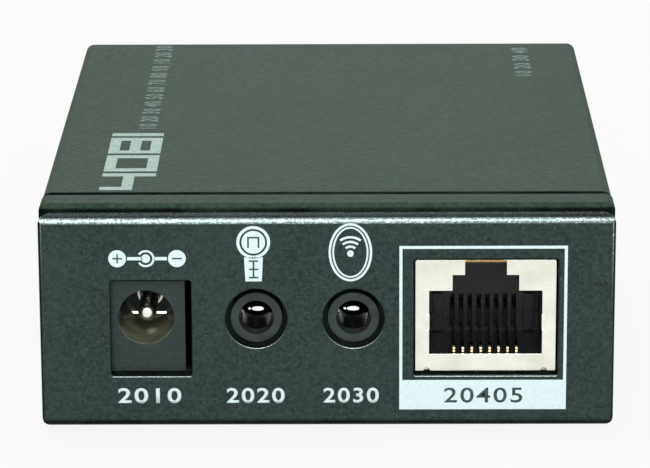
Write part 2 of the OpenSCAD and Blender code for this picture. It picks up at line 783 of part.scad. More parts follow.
// Power jack: square front block, round body, bore and the slots of its contacts
module dc_jack_housing() {
    body_r = dc_w / 2 - dc_step;
    color(grey_plastic) translate([-dc_x, dc_face, board_top]) difference() {
        union() {
            translate([-dc_w / 2, 0, 0]) cube([dc_w, dc_block_l, dc_h]);
            intersection() {
                union() {
                    translate([0, 0, dc_axis_h]) bar_y(body_r, 0, dc_l);
                    translate([-body_r, 0, 0]) cube([2 * body_r, dc_l, dc_axis_h]);
                }
                translate([-dc_w / 2, 0, 0]) cube([dc_w, dc_l, dc_h]);
            }
        }
        translate([0, 0, dc_axis_h]) {
            bar_y(dc_bore_d / 2, -over, dc_bore_l + over);
            bar_y(dc_pin_r, 0, dc_l + over);
        }
        translate([-dc_spring_w / 2 - dc_slot_gap, dc_pin_recess, dc_axis_h])
            cube([dc_spring_w + 2 * dc_slot_gap, dc_slot_end - dc_pin_recess,
                dc_bore_d / 2 + dc_slot_h]);
        translate([-dc_spring_w / 2, dc_slot_end - over, dc_hinge_z - dc_spring_t])
            cube([dc_spring_w, dc_l - dc_slot_end + 2 * over, 2 * dc_spring_t]);
    }
}

// Centre pin with a rounded tip and its terminal leg down the back
module dc_centre_pin() {
    tip_r = dc_pin_r;
    leg_top = dc_axis_h + dc_pin_r;
    color(nickel) translate([-dc_x, dc_face, board_top]) union() {
        translate([0, dc_pin_recess + tip_r, dc_axis_h]) sphere(r = tip_r);
        translate([0, 0, dc_axis_h])
            bar_y(dc_pin_r, dc_pin_recess + tip_r, dc_l - dc_pin_recess - tip_r);
        translate([-dc_leg_w / 2, dc_l, legs_z - board_top])
            cube([dc_leg_w, dc_leg_t, leg_top - legs_z + board_top]);
    }
}

// Leaf spring over the power bore, hinged at its rear end
module dc_spring_contact() {
    color(nickel) translate([-dc_x, dc_face + dc_hinge_y, board_top + dc_hinge_z])
        across(dc_spring_w) strip_view([[0, 0], dc_crest, dc_tip], dc_spring_t);
}

// Fixed terminal of the leaf spring: back along the body, aside and down
module dc_spring_terminal() {
    start = dc_slot_end - dc_spring_t;
    bar_w = dc_side_leg_x + dc_leg_w / 2 + dc_spring_w / 2;
    color(nickel) translate([-dc_x, dc_face, board_top]) {
        translate([-dc_spring_w / 2, start, dc_hinge_z - dc_spring_t])
            cube([dc_spring_w, dc_l + dc_leg_t - start, 2 * dc_spring_t]);
        translate([-dc_spring_w / 2, dc_l, dc_hinge_z - dc_leg_w])
            cube([bar_w, dc_leg_t, dc_leg_w + dc_spring_t]);
        translate([dc_side_leg_x - dc_leg_w / 2, dc_l, legs_z - board_top])
            cube([dc_leg_w, dc_leg_t, dc_hinge_z + board_top - legs_z]);
    }
}

// Housing of an audio-size jack: nose, body, sleeve seat and spring slot
module jack_housing(x) {
    color(grey_plastic) translate([x, jack_face, board_top]) difference() {
        union() {
            translate([0, 0, jack_axis_h]) bar_y(jack_nose_d / 2, 0, jack_nose_l + over);
            translate([-jack_w / 2, jack_nose_l, 0]) cube([jack_w, jack_l, jack_h]);
        }
        translate([0, 0, jack_axis_h]) {
            bar_y(jack_bore_r + jack_mouth_gap, -over, jack_end - tip_t + over);
            bar_y(sleeve_r + sleeve_gap, sleeve_start, sleeve_l);
        }
        translate([-tip_w / 2 - tip_slot_gap, tip_slot_y, jack_axis_h])
            cube([tip_w + 2 * tip_slot_gap, jack_end - tip_slot_y + over, jack_h]);
        translate([-tip_w / 2 - sleeve_gap, sleeve_leg_y - tip_t / 2 - sleeve_gap, -over])
            cube([tip_w + 2 * sleeve_gap, tip_t + 2 * sleeve_gap, jack_axis_h]);
    }
}

// Ground sleeve of an audio-size jack with its leg
module jack_sleeve(x) {
    color(nickel) translate([x, jack_face, board_top]) difference() {
        union() {
            translate([0, 0, jack_axis_h]) bar_y(sleeve_r, sleeve_start, sleeve_l);
            translate([-tip_w / 2, sleeve_leg_y - tip_t / 2, legs_z - board_top])
                cube([tip_w, tip_t, jack_axis_h - legs_z + board_top]);
        }
        translate([0, 0, jack_axis_h]) bar_y(jack_bore_r, sleeve_start - over, sleeve_l + 2 * over);
    }
}

// Tip spring of an audio-size jack, hinged at its rear end
module jack_spring(x) {
    color(gold) translate([x, jack_face + tip_hinge_y, board_top + tip_hinge_z])
        across(tip_w) strip_view([[0, 0], tip_crest, tip_end], tip_t);
}

// Tip terminals of both jacks: from behind the spring down through the board
module jack_terminals() {
    color(nickel) for (x = [-jack_in_x, jack_out_x]) translate([x, jack_face, board_top]) {
        translate([-tip_w / 2, jack_end, legs_z - board_top])
            cube([tip_w, tip_t, tip_hinge_z + tip_t / 2 + board_top - legs_z]);
        translate([-tip_w / 2, tip_hinge_y + tip_t, tip_hinge_z - tip_t / 2])
            cube([tip_w, jack_end - tip_hinge_y, tip_t]);
    }
}

// Place of a contact wire across the network socket
function wire_x(i) = (i - (rj_count - 1) / 2) * rj_pitch;

// Front view of the stepped plug opening, with the latch at the top
module plug_opening_view(top) {
    step_z = rj_open_z + rj_open_h;
    latch_z = step_z + rj_step_h;
    translate([-rj_open_w / 2, rj_open_z]) square([rj_open_w, rj_open_h]);
    translate([-rj_step_w / 2, rj_open_z]) square([rj_step_w, latch_z - rj_open_z]);
    translate([-rj_latch_w / 2, rj_open_z]) square([rj_latch_w, top - rj_open_z]);
}

// Folded shield of the network socket with two ground legs
module network_shield() {
    inner_w = rj_w - 2 * rj_shield_t;
    inner_l = rj_l - 2 * rj_shield_t;
    lip_l = rj_stub_y - rj_wire_t / 2;
    color(nickel) translate([rj_x, rj_face, board_top]) difference() {
        union() {
            backward(0, rj_l) translate([-rj_w / 2, 0])
                soft_rect(rj_w, rj_h, [0, 0, rj_shield_t, rj_shield_t]);
            for (side = [-1, 1])
                translate([side * (rj_w - rj_shield_t) / 2 - rj_shield_t / 2,
                    rj_leg_y - rj_leg_l / 2, legs_z - board_top])
                    cube([rj_shield_t, rj_leg_l, rj_h / 2]);
        }
        translate([-inner_w / 2, rj_shield_t, rj_shield_t])
            cube([inner_w, inner_l, rj_h - 2 * rj_shield_t]);
        translate([-inner_w / 2, lip_l, -leg_below - board_t])
            cube([inner_w, rj_l - rj_shield_t - lip_l, rj_h / 2]);
        backward(-over, rj_shield_t + 2 * over) {
            plug_opening_view(rj_h - rj_shield_t);
            translate([-rj_open_w / 2 - rj_side_notch_w, rj_post_z])
                square([rj_open_w + 2 * rj_side_notch_w, rj_side_notch_h]);
        }
        for (x = [-rj_notch_x, rj_notch_x])
            translate([x, 0, 0]) bar_y(rj_notch_d / 2, -over, rj_shield_t + over);
    }
}

// Housing of the network socket: plug cavity, comb slots and pin channels
module network_housing() {
    w = rj_w - 2 * rj_shield_t;
    l = rj_l - 2 * rj_shield_t;
    groove_w = rj_wire_t + 2 * sleeve_gap;
    color(black_plastic) translate([rj_x, rj_face, board_top]) difference() {
        translate([-w / 2, rj_shield_t, rj_shield_t]) cube([w, l, rj_h - 2 * rj_shield_t]);
        difference() {
            backward(rj_shield_t - over, rj_open_l - rj_shield_t + over)
                plug_opening_view(rj_h - 2 * rj_shield_t);
            for (side = [-1, 1])
                translate([side * rj_post_x - rj_post_w / 2, rj_open_l - rj_post_t, rj_open_z + rj_wire_t])
                    cube([rj_post_w, rj_post_t + over, rj_post_h]);
        }
        for (i = [0 : rj_count - 1]) translate([wire_x(i), 0, 0]) {
            translate([-rj_comb_w / 2, rj_open_l - over, rj_comb_low])
                cube([rj_comb_w, rj_comb_l + over, rj_comb_high - rj_comb_low]);
            translate([-groove_w / 2, 0, 0])
                cube([groove_w, rj_tail_rows[i % 2] + rj_wire_t, rj_run_z + rj_wire_t / 2 + sleeve_gap]);
            translate([-groove_w / 2, 0, 0])
                cube([groove_w, rj_stub_y + rj_wire_t / 2 + sleeve_gap, rj_open_z + over]);
        }
    }
}

// The eight sloping contact wires, hinged at their front bends
module network_contacts() {
    tip = [rj_wire_l * cos(rj_wire_slope), rj_wire_l * sin(rj_wire_slope)];
    color(gold) for (i = [0 : rj_count - 1])
        translate([rj_x + wire_x(i), rj_face + rj_hinge_y, board_top + rj_hinge_z])
            across(rj_wire_t) strip_view([[0, 0], tip], rj_wire_t);
}

// The fixed pins: up at the front, back under the floor and down through the board
module network_pins() {
    color(gold) for (i = [0 : rj_count - 1]) {
        tail_y = rj_tail_rows[i % 2];
        translate([rj_x + wire_x(i), rj_face, board_top]) across(rj_wire_t)
            strip_view([
                [rj_stub_y, rj_hinge_z],
                [rj_stub_y, rj_run_z],
                [tail_y, rj_run_z],
                [tail_y, legs_z - board_top]
            ], rj_wire_t);
    }
}

// Front view of the video opening, grown on all sides, standing on its shell
module video_outline(grow) {
    low = hd_t - grow;
    high = hd_t + hd_h + grow;
    wide = hd_w / 2 + grow;
    narrow = hd_low_w / 2 + grow * tan(22.5);
    slant = hd_t + hd_slant_h - grow * tan(22.5);
    polygon([
        [-narrow, low], [narrow, low], [wide, slant],
        [wide, high], [-wide, high], [-wide, slant]
    ]);
}

// Shell of the video socket with its mouth at the rear panel and four legs
module video_shell() {
    leg_l = hd_pitch * 1.2;
    finger_w = hd_pitch * 1.6;
    finger_l = hd_l * 0.45;
    slit = hd_t;
    color(nickel) translate([-hd_x, hd_face, board_top]) difference() {
        union() {
            backward(-hd_l, hd_l) video_outline(hd_t);
            for (side = [-1, 1], y = hd_leg_ys)
                translate([side * (hd_w + hd_t) / 2 - hd_t / 2, -y - leg_l / 2, legs_z - board_top])
                    cube([hd_t, leg_l, hd_h / 2 + board_top - legs_z]);
        }
        backward(-hd_l - over, hd_l + 2 * over) video_outline(0);
        for (x = [-hd_w / 4, hd_w / 4], side = [-1, 1])
            translate([x + side * finger_w / 2 - slit / 2, -finger_l - hd_pitch, hd_h])
                cube([slit, finger_l, hd_h]);
    }
}

// Insulator of the video socket: the block at its inner end and the tongue
module video_insulator() {
    tongue_z = hd_axis_h - hd_tongue_t / 2;
    color(black_plastic) translate([-hd_x, hd_face, board_top]) difference() {
        union() {
            backward(-hd_l, hd_block_l) video_outline(-slide_gap / 2);
            translate([-hd_tongue_w / 2, -hd_l, tongue_z])
                cube([hd_tongue_w, hd_l - hd_t, hd_tongue_t]);
        }
        for (i = [0 : hd_upper_count - 1])
            translate([upper_contact_x(i) - hd_contact_w / 2, -hd_l - over,
                tongue_z + hd_tongue_t - hd_contact_t])
                cube([hd_contact_w, hd_l - hd_pitch + over, hd_contact_t]);
        for (i = [0 : hd_lower_count - 1])
            translate([lower_contact_x(i) - hd_contact_w / 2, -hd_l - over, tongue_z])
                cube([hd_contact_w, hd_l - hd_pitch + over, hd_contact_t]);
    }
}

function upper_contact_x(i) = (i - (hd_upper_count - 1) / 2) * hd_pitch;
function lower_contact_x(i) = (i - (hd_lower_count - 1) / 2) * hd_pitch;

// One video contact: along the tongue, out of the block, down and onto the board
module video_contact(x, z) {
    translate([x - hd_contact_w / 2, 0, 0]) {
        translate([0, -hd_l - hd_contact_t, z])
            cube([hd_contact_w, hd_l + hd_contact_t - hd_pitch, hd_contact_t]);
        translate([0, -hd_l - hd_contact_t, 0])
            cube([hd_contact_w, hd_contact_t, z + hd_contact_t]);
        translate([0, -hd_l - hd_contact_t - hd_tail_l, 0])
            cube([hd_contact_w, hd_tail_l + hd_contact_t, hd_contact_t]);
    }
}

module video_contacts() {
    tongue_z = hd_axis_h - hd_tongue_t / 2;
    color(gold) translate([-hd_x, hd_face, board_top]) {
        for (i = [0 : hd_upper_count - 1])
            video_contact(upper_contact_x(i), tongue_z + hd_tongue_t - hd_contact_t);
        for (i = [0 : hd_lower_count - 1])
            video_contact(lower_contact_x(i), tongue_z);
    }
}

// One lamp lying along Y: lens, rim and two legs bent down at its inner end
module lamp(x) {
    rim_y = lamp_holder_y;
    bend_y = lamp_holder_y - lamp_holder_l - lamp_leg / 2;
    translate([x, 0, board_top + lamp_axis_h]) {
        bar_y(lamp_r, rim_y, rear_y - lamp_r - rim_y);
        translate([0, rear_y - lamp_r, 0]) intersection() {
            sphere(r = lamp_r);
            translate([-lamp_r, 0, -lamp_r]) cube(lamp_d);
        }
        bar_y(lamp_rim_r, rim_y, lamp_leg);
        for (leg = lamp_leg_xs) translate([leg, 0, 0]) {
            translate([-lamp_leg / 2, bend_y - lamp_leg / 2, -lamp_leg / 2])
                cube([lamp_leg, rim_y + lamp_leg - bend_y, lamp_leg]);
            translate([-lamp_leg / 2, bend_y - lamp_leg / 2, legs_z - board_top - lamp_axis_h])
                cube([lamp_leg, lamp_leg, board_top + lamp_axis_h - legs_z]);
        }
    }
}

module power_lamp() {
    color([0.8, 0.15, 0.12]) lamp(lamp_power_x);
}

module link_lamp() {
    color([0.25, 0.7, 0.3]) lamp(lamp_link_x);
}

// Right-angle holders that carry the lamps over the board
module lamp_holders() {
    color(black_plastic) for (x = lamp_xs)
        translate([x, lamp_holder_y - lamp_holder_l, board_top]) difference() {
            translate([-lamp_holder_w / 2, 0, 0])
                cube([lamp_holder_w, lamp_holder_l, lamp_axis_h + lamp_holder_w / 2]);
            for (leg = lamp_leg_xs)
                translate([leg - lamp_leg / 2 - lamp_gap, -over, lamp_axis_h - lamp_leg / 2 - lamp_gap])
                    cube([lamp_leg + 2 * lamp_gap, lamp_holder_l + 2 * over, lamp_leg + 2 * lamp_gap]);
        }
}

// Plan view of a row of leads, centred on X, from the body's edge outwards along Y
module lead_row(count, pitch, lead_w, reach) {
    for (i = [0 : count - 1])
        translate([(i - (count - 1) / 2) * pitch - lead_w / 2, 0]) square([lead_w, reach]);
}

// A chip body over the board with rows of leads on the given number of sides
module leaded_chip(w, l, h, count, pitch, sides) {
    reach = lead_l;
    lift = h * 0.1;
    translate([-w / 2, -l / 2, lift]) cube([w, l, h]);
    for (side = [0 : sides - 1]) rotate(side * 360 / sides) {
        half = (side % 2 == 1 && sides == 4) ? w / 2 : l / 2;
        translate([0, half, 0]) {
            linear_extrude(lift) lead_row(count, pitch, pitch * 0.45, reach);
            linear_extrude(lift + h / 2) lead_row(count, pitch, pitch * 0.45, lift * 2);
        }
    }
}

module receiver_chip() {
    color(black_plastic) translate([chip_x, chip_y, board_top])
        leaded_chip(chip_w, chip_w, chip_h, 16, chip_w / 18, 4);
}

module thermal_pad() {
    color([0.75, 0.75, 0.8]) translate([chip_x - chip_w * 0.4, chip_y - chip_w * 0.4, chip_top])
        cube([chip_w * 0.8, chip_w * 0.8, pad_h]);
}

// Heat sink: a base with upright fins
module heat_sink() {
    gap = (chip_w - sink_fin_t) / (sink_fins - 1);
    color(steel) translate([chip_x, chip_y - chip_w / 2, chip_top + pad_h]) backward(0, chip_w) {
        translate([-chip_w / 2, 0]) square([chip_w, sink_base]);
        for (i = [0 : sink_fins - 1])
            translate([-chip_w / 2 + i * gap, 0]) square([sink_fin_t, sink_h]);
    }
}

module driver_chip() {
    side = chip_w / 2;
    color(black_plastic)
        translate([-hd_x, board_front + board_l * 0.76, board_top])
            leaded_chip(side, side, chip_h * 0.7, 12, side / 14, 4);
}

module memory_chip() {
    color(black_plastic)
        translate([board_w * 0.2, board_front + board_l * 0.72, board_top])
            leaded_chip(chip_w * 0.36, chip_w * 0.28, chip_h, 4, chip_w * 0.09, 2);
}

module isolation_transformer() {
    color(black_plastic)
        translate([rj_x, board_front + board_l * 0.4, board_top])
            leaded_chip(chip_w * 0.92, chip_w * 0.5, chip_h * 3, 8, chip_w * 0.09, 2);
}

// Crystal in its flat oval can on a thin base
module crystal_can() {
    can_w = chip_w * 0.27;
    can_l = chip_w * 0.5;
    color(nickel) translate([crystal_x, 0, board_top]) {
        translate([-can_l * 0.85, -can_w * 0.6, 0]) cube([can_l * 1.7, can_w * 1.2, chip_h * 0.4]);
        linear_extrude(chip_h * 2.2) union() {
            translate([-can_l / 2, -can_w / 2]) square([can_l, can_w]);
            for (side = [-1, 1]) translate([side * can_l / 2, 0]) circle(d = can_w);
        }
    }
}

module power_inductor() {
    color([0.3, 0.3, 0.3]) translate([row_x, coil_y, board_top])
        difference() {
            translate([-coil_w / 2, -coil_w / 2, 0]) linear_extrude(coil_h)
                soft_rect(coil_w, coil_w, [for (i = [0 : 3]) coil_w * 0.2]);
            translate([0, 0, coil_h * 0.75]) difference() {
                cylinder(d = coil_w * 0.9, h = coil_h);
                cylinder(d = coil_w * 0.6, h = coil_h);
            }
        }
}

module voltage_regulator() {
    color(black_plastic) translate([row_x, reg_y, board_top]) {
        leaded_chip(reg_w, reg_w / 2, reg_w / 4, 3, reg_w * 0.35, 1);
        translate([-reg_w / 4, -reg_front_l, 0]) cube([reg_w / 2, reg_w * 0.35, reg_w / 8]);
    }
}

module input_diode() {
    w = cap_d * 0.7;
    color(black_plastic) translate([-board_w * 0.22, board_front + board_l * 0.36, board_top]) {
        translate([-w / 2, -w * 0.3, 0]) cube([w, w * 0.6, w / 2]);
        translate([-w * 0.65, -w * 0.15, 0]) cube([w * 1.3, w * 0.3, w * 0.1]);
    }
}

// Surface-mount electrolytic capacitors: a square base under a round can
module electrolytic_capacitors() {
    w = cap_base_w;
    base_h = cap_h * 0.14;
    color([0.7, 0.72, 0.75]) for (place = cap_places)
        translate([place[0], place[1], board_top]) union() {
            linear_extrude(base_h) translate([-w / 2, -w / 2])
                polygon([[0, 0], [w, 0], [w, w * 0.85], [w * 0.85, w], [w * 0.15, w], [0, w * 0.85]]);
            cylinder(d = cap_d, h = cap_h);
        }
}

// One small two-ended part standing on the board
module small_part(w, h) {
    translate([-w / 2, -w / 4, 0]) cube([w, w / 2, h]);
}

module ceramic_capacitors() {
    w = cap_d * 0.26;
    color([0.7, 0.58, 0.42]) for (place = ceramic_places_shares)
        translate([place[0] * board_w, board_front + place[1] * board_l, board_top])
            small_part(w, w / 2);
}

module chip_resistors() {
    w = cap_d * 0.26;
    color([0.1, 0.1, 0.12]) for (place = resistor_places_shares)
        translate([place[0] * board_w, board_front + place[1] * board_l, board_top])
            small_part(w, w / 4);
}

base_tray();
front_collar();
top_cover();
cover_screws();
rubber_feet();
standoffs();
board_screws();
main_board();
dc_jack_housing();
dc_centre_pin();
dc_spring_contact();
dc_spring_terminal();
jack_housing(-jack_in_x);  // left_jack_housing
jack_sleeve(-jack_in_x);  // left_jack_sleeve
jack_spring(-jack_in_x);  // left_jack_spring
jack_housing(jack_out_x);  // right_jack_housing
jack_sleeve(jack_out_x);  // right_jack_sleeve
jack_spring(jack_out_x);  // right_jack_spring
jack_terminals();
network_shield();
network_housing();
network_contacts();
network_pins();
video_shell();
video_insulator();
video_contacts();
power_lamp();
link_lamp();
lamp_holders();
receiver_chip();
thermal_pad();
heat_sink();
driver_chip();
memory_chip();
isolation_transformer();
crystal_can();
power_inductor();
voltage_regulator();
input_diode();
electrolytic_capacitors();
ceramic_capacitors();
chip_resistors();
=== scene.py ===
"""Looks of the signal extender box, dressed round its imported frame.

Sizes are in millimetres in the classes and become metres where a mesh is placed.
X runs across the front panel, Y from the front panel to the back, Z up.
"""

import json
import logging
import math
from dataclasses import dataclass, field, replace
from enum import Enum

import bmesh
import bpy
from mathutils import Matrix, Vector


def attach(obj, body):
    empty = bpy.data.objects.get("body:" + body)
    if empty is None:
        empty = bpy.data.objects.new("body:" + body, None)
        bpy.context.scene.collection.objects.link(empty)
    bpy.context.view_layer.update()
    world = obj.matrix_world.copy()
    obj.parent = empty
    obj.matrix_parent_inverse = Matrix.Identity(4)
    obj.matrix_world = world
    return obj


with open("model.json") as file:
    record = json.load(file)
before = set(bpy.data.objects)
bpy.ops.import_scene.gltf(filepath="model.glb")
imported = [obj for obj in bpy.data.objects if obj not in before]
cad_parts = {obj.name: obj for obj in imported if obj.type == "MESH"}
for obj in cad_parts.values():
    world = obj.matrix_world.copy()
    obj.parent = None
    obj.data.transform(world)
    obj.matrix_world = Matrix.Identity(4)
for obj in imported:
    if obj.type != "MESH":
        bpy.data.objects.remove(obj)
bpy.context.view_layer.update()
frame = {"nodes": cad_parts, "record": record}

LOG = logging.getLogger("extender")
MM = 0.001
MERGE_MM = 1e-4
WELD_MM = 0.002
FLAT_ANGLE = math.radians(0.6)
SHARP_ANGLE = math.radians(38)
EDGE_SEGMENTS = 3
NORMAL_WEIGHT = 60
CAPITAL_SHARE = 0.69
LETTER_SPACE = 1.15
PHOTO_WIDTH = 650
Colour = tuple[float, float, float, float]
Socket = bpy.types.NodeSocket
Node = bpy.types.Node


def tone(red: int, green: int, blue: int) -> Colour:
    """A display colour of 0 to 255 a channel as the linear colour a shader reads.

    Args:
        red: Red channel.
        green: Green channel.
        blue: Blue channel.

    Returns:
        Linear red, green, blue and an alpha of 1.
    """
    def linear(value: int) -> float:
        """One channel from display to linear."""
        share = value / 255
        return share / 12.92 if share <= 0.04045 else ((share + 0.055) / 1.055) ** 2.4

    return (linear(red), linear(green), linear(blue), 1.0)


def shine(level: float) -> tuple[tuple[str, object], ...]:
    """The shader constant of a finish that sets only its specular level."""
    return (("Specular IOR Level", level),)


class Body(Enum):
    """The body of the frame that the scene's own pieces ride on."""

    CASE = "case"


class Pattern(Enum):
    """The node groups by name: the fine patterns and the broad handling marks."""

    POWDER = "powder_grain"
    MOULD = "mould_grain"
    PLATE = "plate_cloud"
    BRUSH = "brush_lines"
    INK = "ink_mottle"
    HAZE = "handling_haze"


class Side(Enum):
    """The flat sides that prints lie on, as turns of a drawing's own plane."""

    FRONT = ((1, 0, 0), (0, 0, 1), (0, -1, 0))
    TOP = ((1, 0, 0), (0, 1, 0), (0, 0, 1))

    def turn(self, level: float) -> Matrix:
        """Placement of a drawing on this side.

        Args:
            level: Place of the side along its outward direction, in millimetres.

        Returns:
            The matrix from the drawing's plane to the object.
        """
        across, upward, outward = (Vector(v) for v in self.value)
        matrix = Matrix((across, upward, outward)).transposed().to_4x4()
        matrix.translation = outward * level
        return matrix


class Graph:
    """Makes and links the nodes of one node tree."""

    def __init__(self, tree: bpy.types.NodeTree) -> None:
        """Keeps the tree that is being filled."""
        self.tree = tree

    @classmethod
    def of(cls, owner: bpy.types.ID) -> "Graph":
        """Empties the node tree of a material or world.

        Args:
            owner: The material or world.

        Returns:
            The graph of its node tree.
        """
        owner.use_nodes = True
        owner.node_tree.nodes.clear()
        return cls(owner.node_tree)

    def add(self, kind: str, **settings: object) -> Node:
        """Adds one node.

        Args:
            kind: Blender's name of the node type.
            **settings: Properties of the node; a key that starts with in_ sets the
                input of that name, with underscores for spaces.

        Returns:
            The new node.
        """
        node = self.tree.nodes.new(kind)
        for key, value in settings.items():
            if key.startswith("in_"):
                node.inputs[key[3:].replace("_", " ")].default_value = value
            else:
                setattr(node, key, value)
        return node

    def link(self, source: Socket, target: Socket) -> None:
        """Links an output to an input."""
        self.tree.links.new(source, target)

    def _feed(self, target: Socket, value: object) -> None:
        """Links a socket to an input, or sets a constant there.

        Args:
            target: The input.
            value: Output socket or constant.
        """
        if isinstance(value, Socket):
            self.link(value, target)
        else:
            target.default_value = value

    def maths(self, operation: str, first: object, second: object = 0.0) -> Socket:
        """A maths node on two values or sockets.

        Args:
            operation: Blender's name of the operation.
            first: Number or output socket.
            second: Number or output socket.

        Returns:
            The result socket.
        """
        node = self.add("ShaderNodeMath", operation=operation)
        self._feed(node.inputs[0], first)
        self._feed(node.inputs[1], second)
        return node.outputs[0]

    def product(self, first: Socket, *others: object) -> Socket:
        """Multiplies a socket by numbers or sockets, one after another.

        Args:
            first: The socket.
            *others: Numbers or output sockets.

        Returns:
            The result socket.
        """
        for other in others:
            first = self.maths("MULTIPLY", first, other)
        return first

    def squares(self, first: Socket, second: Socket) -> Socket:
        """The sum of two sockets' squares."""
        return self.maths("ADD", self.product(first, first), self.product(second, second))

    def span(self, value: Socket, low: float, high: float,
             to_low: float = 0.0, to_high: float = 1.0) -> Socket:
        """Maps one range of values to another, clamped.

        Args:
            value: The value to map.
            low: Start of the range it comes from.
            high: End of the range it comes from.
            to_low: Start of the new range.
            to_high: End of the new range.

        Returns:
            The mapped socket.
        """
        node = self.add("ShaderNodeMapRange", clamp=True, in_From_Min=low, in_From_Max=high,
                        in_To_Min=to_low, in_To_Max=to_high)
        self.link(value, node.inputs["Value"])
        return node.outputs["Result"]

    def blend(self, share: Socket, first: object, second: object) -> Socket:
        """Mixes two colours by a share.

        Args:
            share: How much of the second colour.
            first: Colour or socket.
            second: Colour or socket.

        Returns:
            The colour socket.
        """
        node = self.add("ShaderNodeMix", data_type="RGBA")
        self.link(share, node.inputs["Factor"])
        self._feed(node.inputs[6], first)
        self._feed(node.inputs[7], second)
        return node.outputs[2]

    def axes(self, vector: Socket) -> tuple[Socket, Socket, Socket]:
        """Takes a vector apart.

        Args:
            vector: The vector's socket.

        Returns:
            The sockets of its X, Y and Z.
        """
        node = self.add("ShaderNodeSeparateXYZ")
        self.link(vector, node.inputs["Vector"])
        return tuple(node.outputs)

    def noise(self, place: Socket, scale: float, detail: float) -> Socket:
        """Adds a noise of its own, for what only one finish uses.

        Args:
            place: Coordinates it reads.
            scale: Cells in a metre.
            detail: Number of finer layers.

        Returns:
            The socket of its value.
        """
        node = self.add("ShaderNodeTexNoise", in_Scale=scale, in_Detail=detail)
        self.link(place, node.inputs["Vector"])
        return node.outputs["Fac"]

    def close(self, kind: str, shader: Socket) -> None:
        """Adds an output node and links the last shader to its surface."""
        self.link(shader, self.add(kind).inputs["Surface"])


